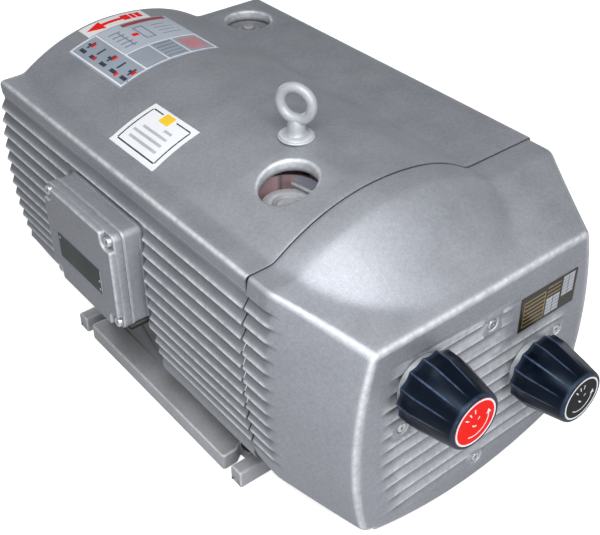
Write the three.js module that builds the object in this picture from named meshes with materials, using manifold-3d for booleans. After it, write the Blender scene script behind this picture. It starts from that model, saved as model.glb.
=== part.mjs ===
// Dry-running rotary vane vacuum pump under a ribbed acoustic hood, with its motor on the same axis.
// Millimetres. X runs across the machine, +Y from the control panel to the rear, +Z up.
// The parts are laid out from the middle of the panel at floor level, and the whole machine is then
// moved so that its origin is at the middle of its outer box, on the floor.
import * as THREE from 'three';
import { mergeVertices } from 'three/addons/utils/BufferGeometryUtils.js';
import Module from 'manifold-3d';

const wasm = await Module();
wasm.setup();

// ---- driving dimensions -------------------------------------------------------------------------
const GAP = 0.3;                 // clearance between neighbouring pieces
const SHOULDER = 328;            // height of the hood's left shoulder above the floor
const SHOULDER_RISE = 5;         // the right shoulder stands this much higher
const MIDDLE = 2.5;              // middle of the hood, across
const HALF_WIDTH = 202.5;        // half width of the hood at its shoulders
const LEFT_WALL = MIDDLE - HALF_WIDTH;
const HOOD_FRONT = 130;          // seam between the front cover and the hood
const HOOD_REAR = 648;
const TAPER_START = 97;          // the front cover's sides and shoulders draw in ahead of this plane
const WALL = 4;

const ARCH_X = -35;              // centre line of the arched ridge along the top
const ARCH_HALF = 131.5;
const ARCH_RISE = 42.6;
const ARCH_RADIUS = (ARCH_HALF ** 2 + ARCH_RISE ** 2) / (2 * ARCH_RISE);
const DOME_LENGTH = 114;         // the arch runs out in a rounded nose this far ahead of the seam
const NOSE_POWER = 2.3;          // 2 would make the nose's outline an ellipse; more is squarer

const SIDE_BULGE = 9.9;          // barrel of the sides, greatest at this level below the shoulder
const BULGE_LEVEL = -118;
const BULGE_SPAN = 108;
const RIB_COUNT = 11;
const RIB_PITCH = 18.25;
const RIB_TOP = -36.8;           // crest of the uppermost rib, below the shoulder
const RIB_DEPTH = 5;
const SKIRT_Z = -238;            // where the hood's sides turn under
const LIP_REACH = 174.5;         // inner edges of the hood's turned-in bottom lips, from its middle

const PANEL_TOP = -38;           // upper edge of the control panel, below the shoulder
const PANEL_CORNER = -286;       // lower corners of the control panel
const PANEL_BELLY = 29;          // sag of the panel's lower edge between them
const PANEL_HALF = 154.2;
const PANEL_BULGE = 19;
const PANEL_WALL = 8;
const LOUVRE_TOP = -76;
const LOUVRE_PITCH = 19.3;

const AXIS_X = -36;              // shaft line, shared by the pump and its motor
const AXIS_Z = 178;
const VANE_COUNT = 7;
const VANE_THICKNESS = 4;
const VANE_HEIGHT = 37;
const ROTOR_RADIUS = 70;
const BORE_RADIUS = 78;
const ECCENTRICITY = BORE_RADIUS - ROTOR_RADIUS - 0.4;
const CYLINDER_RADIUS = 96;
const CYLINDER_FRONT = 165;
const CYLINDER_REAR = 285;
const SHAFT_RADIUS = 12.5;

const MOTOR_FRONT = 385;
const MOTOR_REAR = 582;
const MOTOR_RADIUS = 90;

const BEAM_HALF = 195.5;         // half length of the base's cross beams
const BEAM_HEIGHT = 23;
const BEAM_FRONT_Y = [163, 183];
const BEAM_REAR_Y = [515, 535];
const RAIL_Y = [197, 501];
const FOOT = { x: 156.5, radius: 14, ys: [192, 506] };
const FOOT_TOP = 60;

const KNOB_LENGTH = 66;
const KNOB_SKIRT = 41;           // radius of the fluted skirt
const KNOB_TIP = 31;             // radius of the end face
const KNOB_BACK = -9.7;          // rear face of the knob, ahead of the panel
const RED_VALVE = { x: -91, z: SHOULDER - 100 };
const BLACK_VALVE = { x: 81, z: SHOULDER - 176 };

const SUCTION_PORT = { x: -96.5, y: 195, top: SHOULDER + 6 };
const DISCHARGE_PORT = { x: 146, y: 593, top: SHOULDER - 16 };
const PORT_BOSS = 27;            // radius of the bosses round the ports
const ACCESS_RADIUS = 32;
const EYE = { x: -45, y: 246, ring: 19, wire: 5.3, lift: 39.5, yaw: -65 };

const BOX = { x0: -243, x1: LEFT_WALL, y0: 319, y1: 469, z0: SHOULDER - 173, z1: SHOULDER - 44 };
const BOX_SPLIT = -225.5;        // joint between the terminal box and its lid
const BOX_NOTCH = 18;            // recessed corners that hold the lid screws

// ---- materials ----------------------------------------------------------------------------------
const finish = (color, roughness, metalness) => () =>
  new THREE.MeshStandardMaterial({ color, roughness, metalness });
const castPaint = finish(0xa3a3a1, 0.45, 0.35);
const barePaint = finish(0x97918d, 0.6, 0.2);
const darkCasting = finish(0x8a7d78, 0.6, 0.4);
const steel = finish(0xc8c8c6, 0.3, 0.9);
const electricalSteel = finish(0x55565a, 0.5, 0.7);
const rubber = finish(0x141416, 0.8, 0);
const knobPlastic = finish(0x10121c, 0.3, 0);
const redDisc = finish(0xe0261c, 0.4, 0);
const blackDisc = finish(0x0b0c12, 0.35, 0);
const carbon = finish(0x2a2a2c, 0.55, 0.1);
const whitePlastic = finish(0xd9d6cc, 0.5, 0);
const filterPaper = finish(0xd8c9a0, 0.9, 0);

// ---- solids -------------------------------------------------------------------------------------
// A closed geometry as a solid: shared vertices merged, empty triangles dropped, faces outward.
function solid(geometry) {
  const bare = geometry.clone();
  bare.deleteAttribute('normal');
  bare.deleteAttribute('uv');
  const merged = mergeVertices(bare, 1e-4);
  const at = merged.attributes.position;
  const corners = [new THREE.Vector3(), new THREE.Vector3(), new THREE.Vector3()];
  const kept = [];
  let volume = 0;
  for (let i = 0; i < merged.index.count; i += 3) {
    const tri = [0, 1, 2].map((k) => merged.index.getX(i + k));
    if (new Set(tri).size < 3) continue;
    tri.forEach((vertex, k) => corners[k].fromBufferAttribute(at, vertex));
    volume += corners[0].dot(corners[1].clone().cross(corners[2]));
    kept.push(tri);
  }
  const triVerts = kept.flatMap((tri) => (volume < 0 ? [tri[0], tri[2], tri[1]] : tri));
  return new wasm.Manifold(new wasm.Mesh({
    numProp: 3,
    vertProperties: new Float32Array(at.array),
    triVerts: new Uint32Array(triVerts),
  }));
}

function geometryOf(body) {
  const mesh = body.getMesh();
  const geometry = new THREE.BufferGeometry();
  geometry.setAttribute('position', new THREE.BufferAttribute(new Float32Array(mesh.vertProperties), 3));
  geometry.setIndex(Array.from(mesh.triVerts));
  geometry.computeVertexNormals();
  return geometry;
}

const join = (bodies) => bodies.reduce((sum, body) => sum.add(body));
const cut = (body, tools) => tools.reduce((left, tool) => left.subtract(tool), body);

function block(x0, x1, y0, y1, z0, z1) {
  const box = new THREE.BoxGeometry(x1 - x0, y1 - y0, z1 - z0);
  return solid(box.translate((x0 + x1) / 2, (y0 + y1) / 2, (z0 + z1) / 2));
}

// Cylinders along each axis, given by the centre of one end.
function rodY(radius, x, z, y0, y1, sides = 24) {
  const rod = new THREE.CylinderGeometry(radius, radius, y1 - y0, sides);
  return solid(rod.translate(x, (y0 + y1) / 2, z));
}

function rodZ(radius, x, y, z0, z1, sides = 24) {
  const rod = new THREE.CylinderGeometry(radius, radius, z1 - z0, sides).rotateX(Math.PI / 2);
  return solid(rod.translate(x, y, (z0 + z1) / 2));
}

function rodX(radius, y, z, x0, x1, sides = 24) {
  const rod = new THREE.CylinderGeometry(radius, radius, x1 - x0, sides).rotateZ(Math.PI / 2);
  return solid(rod.translate((x0 + x1) / 2, y, z));
}

// A profile of [radius, y] points turned about the Y axis. A ring's profile closes on itself.
function turned(profile, sides = 32, ring = false) {
  const outline = ring ? [...profile, profile[0]] : profile;
  return solid(new THREE.LatheGeometry(outline.map(([r, y]) => new THREE.Vector2(r, y)), sides));
}

// An [x, z] outline pushed along Y.
function pushedY(outline, y0, y1, steps = 1) {
  const shape = new THREE.Shape(outline.map(([x, z]) => new THREE.Vector2(x, z)));
  const push = new THREE.ExtrudeGeometry(shape, { depth: y1 - y0, bevelEnabled: false, steps });
  return push.rotateX(Math.PI / 2).translate(0, y1, 0);
}

// A [y, z] outline pushed along X.
function pushedX(outline, x0, x1) {
  const shape = new THREE.Shape(outline.map(([y, z]) => new THREE.Vector2(y, z)));
  const push = new THREE.ExtrudeGeometry(shape, { depth: x1 - x0, bevelEnabled: false });
  const turn = new THREE.Matrix4().makeBasis(
    new THREE.Vector3(0, 1, 0), new THREE.Vector3(0, 0, 1), new THREE.Vector3(1, 0, 0));
  return solid(push.applyMatrix4(turn).translate(x0, 0, 0));
}

const arcPoints = (cx, cz, radius, from, to, steps) => Array.from({ length: steps + 1 }, (_, i) => {
  const angle = THREE.MathUtils.degToRad(from + ((to - from) * i) / steps);
  return [cx + radius * Math.cos(angle), cz + radius * Math.sin(angle)];
});

// Copies of a body turned about the Y axis.
const aroundY = (body, count, startDeg = 0) => Array.from({ length: count }, (_, i) =>
  body.rotate([0, startDeg + (360 * i) / count, 0]));

const machine = new THREE.Group();

function piece(name, body, material, parent = machine) {
  const mesh = new THREE.Mesh(geometryOf(body), material());
  mesh.name = name;
  parent.add(mesh);
  return mesh;
}

function assembly(x = 0, y = 0, z = 0) {
  const group = new THREE.Group();
  group.position.set(x, y, z);
  machine.add(group);
  return group;
}

// ---- hood and front cover -----------------------------------------------------------------------
// Height of the hood's top over its left shoulder: an arched ridge that closes in a rounded nose ahead
// of the seam, and a slow rise to the right shoulder that fades towards the panel.
function topHeight(x, y) {
  const across = Math.abs(x - ARCH_X) / ARCH_HALF;
  const ahead = Math.max(0, HOOD_FRONT - y) / DOME_LENGTH;
  const out = Math.min(1, (across ** NOSE_POWER + ahead ** NOSE_POWER) ** (1 / NOSE_POWER));
  const arch = Math.sqrt(ARCH_RADIUS ** 2 - (out * ARCH_HALF) ** 2) - (ARCH_RADIUS - ARCH_RISE);
  const fade = THREE.MathUtils.lerp(0.3, 1, THREE.MathUtils.clamp(y / TAPER_START, 0, 1));
  return arch + SHOULDER_RISE * fade * THREE.MathUtils.smoothstep(x, ARCH_X, ARCH_X + ARCH_HALF);
}

const sideReach = (z) => HALF_WIDTH + SIDE_BULGE * (1 - ((z - BULGE_LEVEL) / BULGE_SPAN) ** 2);

function archTop(inset, steps) {
  return Array.from({ length: steps + 1 }, (_, i) => {
    const x = ARCH_X - ARCH_HALF + (2 * ARCH_HALF * i) / steps;
    return [x, SHOULDER + topHeight(x, HOOD_FRONT) - inset];
  });
}

// One side's ribs from the top down: each slopes out to its crest and steps back below it.
function ribbedSide() {
  const outline = [];
  for (let i = 0; i < RIB_COUNT; i += 1) {
    const crest = RIB_TOP - i * RIB_PITCH;
    outline.push([sideReach(crest + 11) - RIB_DEPTH, crest + 11]);
    outline.push([sideReach(crest), crest + 1]);
    outline.push([sideReach(crest), crest - 1]);
    outline.push([sideReach(crest - 5) - RIB_DEPTH, crest - 5]);
  }
  return outline;
}

function hoodOutline() {
  const underCurve = arcPoints(sideReach(SKIRT_Z) - 25, SKIRT_Z, 25, 0, -90, 4);
  const underInner = arcPoints(sideReach(SKIRT_Z) - 25, SKIRT_Z, 25 - WALL, -90, 0, 3);
  const innerSide = HALF_WIDTH - RIB_DEPTH - WALL;
  const half = (rise) => [...arcPoints(HALF_WIDTH - 10, rise - 10, 10, 90, 0, 3), ...ribbedSide(),
    ...underCurve, [LIP_REACH, SKIRT_Z - 25], [LIP_REACH, SKIRT_Z - 25 + WALL], ...underInner,
    [innerSide + 3, -120], [innerSide, -WALL]];
  const right = half(SHOULDER_RISE).map(([x, z]) => [MIDDLE + x, z + SHOULDER]);
  const left = half(0).map(([x, z]) => [MIDDLE - x, z + SHOULDER]).reverse();
  const inside = archTop(WALL, 12).reverse();
  return [...archTop(0, 24), ...right, ...inside, ...left];
}

function rearHood() {
  const shell = solid(pushedY(hoodOutline(), HOOD_FRONT, HOOD_REAR));
  const boxPad = block(LEFT_WALL - 0.5, LEFT_WALL + 5, BOX.y0 - 6, BOX.y1 + 6, BOX.z0 - 8, BOX.z1 + 8);
  const boxClearance = block(BOX.x0, LEFT_WALL + 0.2, BOX.y0 - 6, BOX.y1 + 6, 0, BOX.z1 + 6);
  const underBox = block(BOX.x0, LEFT_WALL + 40, BOX.y0 - 8, BOX.y1 + 8, 0, BOX.z0 - 4);
  return cut(cut(shell, [boxClearance]).add(boxPad), [
    underBox,
    block(BOX.x0, LEFT_WALL + GAP, BOX.y0 - 7, BOX.y1 + 7, BOX.z0 - 9, BOX.z1 + 9),
    block(BOX.x0, LEFT_WALL + 30, BOX.y0 + 14, BOX.y1 - 14, BOX.z0 + 14, BOX.z1 - 14),
    rodZ(ACCESS_RADIUS, SUCTION_PORT.x, SUCTION_PORT.y, SHOULDER - 30, SHOULDER + 60, 32),
    rodZ(ACCESS_RADIUS, DISCHARGE_PORT.x, DISCHARGE_PORT.y, SHOULDER - 30, SHOULDER + 60, 32),
    rodZ(8, EYE.x, EYE.y, SHOULDER, SHOULDER + 60, 16),
  ]);
}

// Half width of the front cover: full behind the taper, drawn in to the barrel-sided panel.
function coverReach(y, z) {
  const panel = PANEL_HALF + PANEL_BULGE * (1 - ((z + 165) / 127) ** 2);
  const ahead = THREE.MathUtils.clamp((TAPER_START - y) / TAPER_START, 0, 1);
  return THREE.MathUtils.lerp(sideReach(z), panel, ahead);
}

// The cover's outer surface, or one a wall's thickness inside it. A square frame is pushed along Y
// and each of its points is moved out to the cover's outline at that depth.
function coverBody(inset, y0, y1) {
  const sidePoints = 7;
  const topPoints = 26;
  const frame = [];
  for (let i = 0; i < topPoints; i += 1) frame.push([-1 + (2 * i) / topPoints, 1]);
  for (let i = 0; i < sidePoints; i += 1) frame.push([1, 1 - (2 * i) / sidePoints]);
  for (let i = 0; i < sidePoints; i += 1) frame.push([1 - (2 * i) / sidePoints, -1]);
  for (let i = 0; i < sidePoints; i += 1) frame.push([-1, -1 + (2 * i) / sidePoints]);
  const geometry = pushedY(frame, y0, y1, 8);
  const at = geometry.attributes.position;
  for (let i = 0; i < at.count; i += 1) {
    const [p, y, q] = [at.getX(i), at.getY(i), at.getZ(i)];
    const back = THREE.MathUtils.clamp(y / HOOD_FRONT, 0, 1);
    const top = PANEL_TOP * THREE.MathUtils.clamp(1 - y / TAPER_START, 0, 1);
    const corner = THREE.MathUtils.lerp(PANEL_CORNER, SKIRT_Z - 20, back);
    const belly = THREE.MathUtils.lerp(PANEL_BELLY, 20, back);
    const level = THREE.MathUtils.lerp(corner, top, (q + 1) / 2);
    const x = MIDDLE + p * (coverReach(y, level) - inset);
    const under = corner - belly * (1 - p * p) + inset;
    const over = top + topHeight(x, y) - inset;
    at.setXYZ(i, x, y, SHOULDER + THREE.MathUtils.lerp(under, over, (q + 1) / 2));
  }
  return solid(geometry);
}

function frontCover() {
  const shell = cut(coverBody(0, 0, HOOD_FRONT - GAP), [coverBody(5, PANEL_WALL, HOOD_FRONT + 1)]);
  const louvres = Array.from({ length: RIB_COUNT }, (_, i) => {
    const z = SHOULDER + LOUVRE_TOP - i * LOUVRE_PITCH;
    const half = 132 - 0.0012 * (z - SHOULDER + 165) ** 2;
    return pushedX([[-1, z], [4, z], [-1, z - 11]], -half, half);
  });
  const pads = [RED_VALVE, BLACK_VALVE].map(({ x, z }) => rodY(25, x, z, -5, 20));
  const screwHoles = SCREWS.map(([x, z]) => rodY(8.5, x, SHOULDER + z, -5, 4, 16));
  return cut(shell, [...louvres, ...pads, ...screwHoles]);
}

const SCREWS = [[13, -88], [-108, -157], [15, -284], [127, -156]];

// A socket-head screw whose head faces ahead along -Y.
function panelScrew(x, z) {
  return cut(rodY(7.5, x, z, 0.5, 3.7, 16), [rodY(3.4, x, z, -1, 2.5, 6)]);
}

// Rear air inlet: a plate inside the hood's rear end with a row of slots.
function rearGrille() {
  const half = HALF_WIDTH - RIB_DEPTH - WALL - 1.5;
  const low = SHOULDER + SKIRT_Z;
  const [left, right] = [MIDDLE - half, MIDDLE + half];
  const outline = [...archTop(WALL + 1, 12), [right, SHOULDER - WALL - 2], [right, low], [left, low],
    [left, SHOULDER - WALL - 2]];
  const slots = Array.from({ length: 11 }, (_, i) => {
    const z = low + 22 + i * 19;
    return block(left + 30, right - 30, HOOD_REAR - 20, HOOD_REAR, z, z + 9);
  });
  return cut(solid(pushedY(outline, HOOD_REAR - 8, HOOD_REAR - 4)), slots);
}

piece('rear_hood', rearHood(), castPaint);
piece('front_cover', frontCover(), castPaint);
piece('rear_grille', rearGrille(), castPaint);
SCREWS.forEach(([x, z], i) => piece(`front_screw_${i + 1}`, panelScrew(x, SHOULDER + z), steel));

// ---- base ---------------------------------------------------------------------------------------
// A rail in plan: its outer edge stops short of the cross beams, and its inner strip reaches them and
// carries the buffers.
function footRail(side) {
  const [front, rear] = RAIL_Y;
  const [edge, shelf, notch, inner] = [BEAM_HALF, BEAM_HALF - 19.5, BEAM_HALF - 29.5, BEAM_HALF - 66];
  const outline = [[edge, front], [edge, rear], [shelf, rear], [notch, rear - 7], [notch, BEAM_REAR_Y[0] - GAP],
    [inner, BEAM_REAR_Y[0] - GAP], [inner, BEAM_FRONT_Y[1] + GAP], [notch, BEAM_FRONT_Y[1] + GAP],
    [notch, front + 7], [shelf, front]];
  const shape = new THREE.Shape(outline.map(([x, y]) => new THREE.Vector2(side * x, y)));
  return solid(new THREE.ExtrudeGeometry(shape, { depth: BEAM_HEIGHT, bevelEnabled: false }));
}

piece('front_cross_beam', block(-BEAM_HALF, BEAM_HALF, ...BEAM_FRONT_Y, 0, BEAM_HEIGHT), barePaint);
piece('rear_cross_beam', block(-BEAM_HALF, BEAM_HALF, ...BEAM_REAR_Y, 0, BEAM_HEIGHT), barePaint);
piece('left_foot_rail', footRail(-1), barePaint);
piece('right_foot_rail', footRail(1), barePaint);

FOOT.ys.forEach((y, row) => [-1, 1].forEach((side, column) => {
  const tall = FOOT_TOP - BEAM_HEIGHT - 2 * GAP;
  const waisted = turned([[0, 0], [FOOT.radius, 0], [FOOT.radius - 3, tall / 2], [FOOT.radius, tall], [0, tall]], 16);
  const mesh = piece(`rubber_buffer_${row * 2 + column + 1}`, waisted.rotate([90, 0, 0]), rubber);
  mesh.position.set(side * FOOT.x, y, BEAM_HEIGHT + GAP);
}));

// ---- lifting eye --------------------------------------------------------------------------------
function liftingEye() {
  const collarZ = SHOULDER + topHeight(EYE.x, HOOD_FRONT) + GAP;
  const ringZ = collarZ + EYE.lift;
  const ring = solid(new THREE.TorusGeometry(EYE.ring, EYE.wire, 8, 24));
  const upright = ring.rotate([90, 0, 0]).rotate([0, 0, EYE.yaw]).translate([EYE.x, EYE.y, ringZ]);
  return join([
    upright,
    rodZ(20, EYE.x, EYE.y, collarZ, collarZ + 4, 24),
    rodZ(9.2, EYE.x, EYE.y, collarZ + 3, ringZ - EYE.ring + 3, 20),
    rodZ(5, EYE.x, EYE.y, collarZ - 40, collarZ + 1, 12),
  ]);
}

piece('lifting_eye_bolt', liftingEye(), castPaint);

// ---- terminal box -------------------------------------------------------------------------------
function rounded(y0, y1, z0, z1, radius) {
  return [
    ...arcPoints(y1 - radius, z0 + radius, radius, -90, 0, 3),
    ...arcPoints(y1 - radius, z1 - radius, radius, 0, 90, 3),
    ...arcPoints(y0 + radius, z1 - radius, radius, 90, 180, 3),
    ...arcPoints(y0 + radius, z0 + radius, radius, 180, 270, 3),
  ];
}

const boxCorners = [BOX.y0 + 9, BOX.y1 - 9].flatMap((y) => [BOX.z0 + 9, BOX.z1 - 9].map((z) => [y, z]));

function terminalBoxBase() {
  const shell = pushedX(rounded(BOX.y0, BOX.y1, BOX.z0, BOX.z1, 6), BOX_SPLIT + GAP, BOX.x1 - GAP);
  const hollow = pushedX(rounded(BOX.y0 + 20, BOX.y1 - 20, BOX.z0 + 5, BOX.z1 - 5, 4),
    BOX_SPLIT, BOX.x1 - 5);
  const cableWay = pushedX(rounded(BOX.y0 + 45, BOX.y1 - 45, BOX.z0 + 45, BOX.z1 - 45, 4),
    BOX_SPLIT, BOX.x1 + 5);
  const glandHole = rodZ(7.5, BOX_SPLIT + 12.5, BOX.y0 + 60, BOX.z0 - 5, BOX.z0 + 12, 20);
  return cut(shell, [hollow, cableWay, glandHole]);
}

function terminalBoxLid() {
  const shell = pushedX(rounded(BOX.y0, BOX.y1, BOX.z0, BOX.z1, 6), BOX.x0, BOX_SPLIT);
  const hollow = pushedX(rounded(BOX.y0 + 20, BOX.y1 - 20, BOX.z0 + 5, BOX.z1 - 5, 4),
    BOX.x0 + 4, BOX_SPLIT + 1);
  const notches = boxCorners.map(([y, z]) => {
    const reach = BOX_NOTCH - 9;
    return block(BOX.x0 - 1, BOX.x0 + 7, y - reach - 1, y + reach + 1, z - reach - 1, z + reach + 1);
  });
  return cut(shell, [hollow, ...notches]);
}

function terminalBlock() {
  const bridge = block(BOX_SPLIT + 13, BOX.x1 - 5 - GAP, 360, 428, 196, 206);
  const studs = [372, 394, 416].map((y) => rodX(2.5, y, 201, BOX_SPLIT + 2, BOX_SPLIT + 14, 8));
  return join([bridge, ...studs]);
}

// Cable gland under the box: threaded neck, hexagon body and dome nut, bored for the cable.
function cableGland() {
  const profile = [[4, 0], [11.5, 0], [11.5, -9], [10, -12], [9, -20], [4, -20]];
  const body = turned(profile, 16, true).add(turned([[4, -1], [7, -1], [7, 5], [4, 5]], 16, true));
  return body.rotate([90, 0, 0]).translate([BOX_SPLIT + 12.5, BOX.y0 + 60, BOX.z0 - GAP]);
}

piece('terminal_box_base', terminalBoxBase(), castPaint);
piece('terminal_box_lid', terminalBoxLid(), castPaint);
piece('terminal_block', terminalBlock(), whitePlastic);
piece('cable_gland', cableGland(), knobPlastic);
boxCorners.forEach(([y, z], i) => {
  const head = cut(rodX(5.5, y, z, BOX.x0 + 1.5, BOX.x0 + 7 - GAP, 16),
    [block(BOX.x0 + 1, BOX.x0 + 3, y - 6, y + 6, z - 0.7, z + 0.7)]);
  piece(`lid_screw_${i + 1}`, head, steel);
});

// ---- regulating valves --------------------------------------------------------------------------
const SEAT_FRONT = 36;
const SPRING_FRONT = 41.3;
const SPRING_REAR = 77;
const SPINDLE_END = 60;

// Fluted skirt, long cone and a recessed end face for the coloured disc, on a threaded spindle.
function knobBody() {
  const tip = KNOB_BACK - KNOB_LENGTH;
  const skin = turned([[0, tip + 1], [27.6, tip + 1], [27.6, tip], [KNOB_TIP - 2, tip], [KNOB_TIP, tip + 2],
    [KNOB_SKIRT - 2, KNOB_BACK - 20], [KNOB_SKIRT, KNOB_BACK - 18], [KNOB_SKIRT, KNOB_BACK], [0, KNOB_BACK]], 24);
  const flutes = aroundY(block(-3, 3, KNOB_BACK - 25, KNOB_BACK + 1, KNOB_SKIRT - 1.5, KNOB_SKIRT + 5), 12);
  return cut(skin, flutes).add(rodY(5, 0, 0, KNOB_BACK - 5, SPINDLE_END, 16));
}

function valveBody() {
  return turned([[18, -9.4], [34, -9.4], [34, -0.4], [24, -0.4], [24, 90], [9, 90], [9, 81.3], [18, 81.3]],
    20, true);
}

class Helix extends THREE.Curve {
  constructor(radius, y0, y1, turns) {
    super();
    Object.assign(this, { radius, y0, y1, turns });
  }

  getPoint(t, target = new THREE.Vector3()) {
    const angle = 2 * Math.PI * this.turns * t;
    const y = THREE.MathUtils.lerp(this.y0, this.y1, t);
    return target.set(this.radius * Math.cos(angle), y, this.radius * Math.sin(angle));
  }
}

function coilSpring() {
  const wire = new THREE.Shape(arcPoints(0, 0, 1.1, 0, 270, 3).map(([x, y]) => new THREE.Vector2(x, y)));
  const path = new Helix(12, SPRING_FRONT + 1.5, SPRING_REAR - 1.5, 5);
  return solid(new THREE.ExtrudeGeometry(wire, { steps: 50, bevelEnabled: false, extrudePath: path }));
}

function regulatingValve(colour, place, discMaterial) {
  const valve = assembly(place.x, 0, place.z);
  const tip = KNOB_BACK - KNOB_LENGTH;
  piece(`${colour}_knob`, knobBody(), knobPlastic, valve);
  piece(`${colour}_knob_disc`, turned([[0, tip + 0.2], [27.2, tip + 0.2], [27.2, tip + 0.7], [0, tip + 0.7]], 20),
    discMaterial, valve);
  piece(`${colour}_valve_body`, valveBody(), darkCasting, valve);
  piece(`${colour}_spring_seat`,
    turned([[5.3, SEAT_FRONT], [17.5, SEAT_FRONT], [17.5, 41], [5.3, 41]], 16, true), steel, valve);
  piece(`${colour}_valve_spring`, coilSpring(), steel, valve);
  piece(`${colour}_valve_disc`, turned([[0, 77.3], [15, 77.3], [15, 81], [0, 81]], 16), carbon, valve);
}

regulatingValve('red', RED_VALVE, redDisc);
regulatingValve('black', BLACK_VALVE, blackDisc);

// ---- pump ---------------------------------------------------------------------------------------
const boreCentreZ = AXIS_Z - ECCENTRICITY;

function socketPlug(radius, x, y, top) {
  return cut(rodZ(radius, x, y, top - 14, top - 4, 24), [rodZ(radius * 0.42, x, y, top - 10, top, 6)]);
}

// A bar across the machine that rests on two buffers.
function footBar(y) {
  const reach = FOOT.x + FOOT.radius;
  return block(-reach, reach, y - FOOT.radius, y + FOOT.radius, FOOT_TOP, FOOT_TOP + 14);
}

function pumpCylinder() {
  const feet = footBar(FOOT.ys[0]);
  const pillars = [-95, 10].map((x) => block(x, x + 25, 180, 204, FOOT_TOP + 10, boreCentreZ - 20));
  const boss = rodZ(PORT_BOSS, SUCTION_PORT.x, SUCTION_PORT.y, boreCentreZ, SUCTION_PORT.top, 28);
  const casting = rodY(CYLINDER_RADIUS, AXIS_X, boreCentreZ, CYLINDER_FRONT, CYLINDER_REAR, 40);
  const eyeBoss = rodZ(14, EYE.x, EYE.y, boreCentreZ + 85, SHOULDER + 20, 16);
  return cut(join([casting, feet, ...pillars, boss, eyeBoss]), [
    rodY(BORE_RADIUS, AXIS_X, boreCentreZ, CYLINDER_FRONT - 60, CYLINDER_REAR + 60, 48),
    rodZ(19.3, SUCTION_PORT.x, SUCTION_PORT.y, SUCTION_PORT.top - 15, SUCTION_PORT.top + 1, 24),
    rodZ(12, SUCTION_PORT.x, SUCTION_PORT.y, boreCentreZ, SUCTION_PORT.top, 16),
    rodZ(5.3, EYE.x, EYE.y, SHOULDER - 20, SHOULDER + 60, 12),
  ]);
}

function sidePlate(y0, y1) {
  return cut(rodY(CYLINDER_RADIUS, AXIS_X, boreCentreZ, y0, y1, 40), [
    rodY(26.3, AXIS_X, AXIS_Z, y0 - 1, y1 + 1, 24),
  ]);
}

const bearing = () => turned([[SHAFT_RADIUS + GAP, 0], [26, 0], [26, 14], [SHAFT_RADIUS + GAP, 14]], 24, true);

function pumpRotor() {
  const body = turned([[0, 146], [SHAFT_RADIUS, 146], [SHAFT_RADIUS, CYLINDER_FRONT + GAP],
    [ROTOR_RADIUS, CYLINDER_FRONT + GAP], [ROTOR_RADIUS, CYLINDER_REAR - GAP],
    [SHAFT_RADIUS, CYLINDER_REAR - GAP], [SHAFT_RADIUS, 320], [0, 320]], 42);
  const half = VANE_THICKNESS / 2 + GAP;
  const slot = block(-half, half, CYLINDER_FRONT, CYLINDER_REAR, ROTOR_RADIUS - VANE_HEIGHT - 1, ROTOR_RADIUS + 5);
  return cut(body, aroundY(slot, VANE_COUNT, 10));
}

const drive = assembly(AXIS_X, 0, AXIS_Z);
piece('pump_cylinder', pumpCylinder(), darkCasting);
piece('suction_port_plug', socketPlug(19, SUCTION_PORT.x, SUCTION_PORT.y, SUCTION_PORT.top), steel);
piece('front_side_plate', sidePlate(CYLINDER_FRONT - 15, CYLINDER_FRONT - GAP), darkCasting);
piece('rear_side_plate', sidePlate(CYLINDER_REAR + GAP, CYLINDER_REAR + 15), darkCasting);
piece('pump_rotor', pumpRotor(), electricalSteel, drive);
[['front_bearing', CYLINDER_FRONT - 14.7], ['rear_bearing', CYLINDER_REAR + 0.7]].forEach(([name, y]) => {
  piece(name, bearing(), steel, drive).position.y = y;
});
for (let i = 0; i < VANE_COUNT; i += 1) {
  const blade = block(-VANE_THICKNESS / 2, VANE_THICKNESS / 2, CYLINDER_FRONT + 0.5, CYLINDER_REAR - 0.5,
    ROTOR_RADIUS - VANE_HEIGHT - 0.6, ROTOR_RADIUS - 0.6);
  const vane = piece(`vane_${i + 1}`, blade, carbon, drive);
  vane.rotation.y = THREE.MathUtils.degToRad(10 + (360 * i) / VANE_COUNT);
}

// ---- coupling and fans --------------------------------------------------------------------------
const CLAW_Y = [322, 337];

function claws(startDeg) {
  return aroundY(block(-6.5, 6.5, CLAW_Y[0] - 3, CLAW_Y[1] + 3, 21.5, 33), 3, startDeg);
}

function pumpCouplingHub() {
  const hub = turned([[SHAFT_RADIUS + GAP, 302], [34, 302], [34, CLAW_Y[0]], [SHAFT_RADIUS + GAP, CLAW_Y[0]]],
    24, true);
  const rear = block(-50, 50, CLAW_Y[1], CLAW_Y[1] + 20, -50, 50);
  return cut(join([hub, ...claws(0)]), [rear]);
}

function couplingSpider() {
  const ring = turned([[13, CLAW_Y[0] + GAP], [20.5, CLAW_Y[0] + GAP], [20.5, CLAW_Y[1] - GAP],
    [13, CLAW_Y[1] - GAP]], 24, true);
  const lobe = block(-3.2, 3.2, CLAW_Y[0] + GAP, CLAW_Y[1] - GAP, 17, 33);
  return join([ring, ...aroundY(lobe, 6, 30)]);
}

function fanBlades(count, y0, y1, inner, outer) {
  return aroundY(block(-1.5, 1.5, y0, y1, inner, outer), count, 7);
}

function couplingFan() {
  const hub = turned([[SHAFT_RADIUS + GAP, CLAW_Y[1]], [34, CLAW_Y[1]], [34, 350], [92, 350], [92, 353],
    [30, 353], [30, 362], [SHAFT_RADIUS + GAP, 362]], 24, true);
  const front = block(-50, 50, CLAW_Y[0] - 10, CLAW_Y[0] + GAP, -50, 50);
  return cut(join([hub, ...claws(60), ...fanBlades(10, 352, 372, 38, 90)]), [front]);
}

function motorFan() {
  const hub = turned([[SHAFT_RADIUS + GAP, 600], [24, 600], [24, 606], [80, 606], [80, 609],
    [SHAFT_RADIUS + GAP, 609]], 28, true);
  return join([hub, ...fanBlades(8, 608, 624, 20, 78)]);
}

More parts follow.
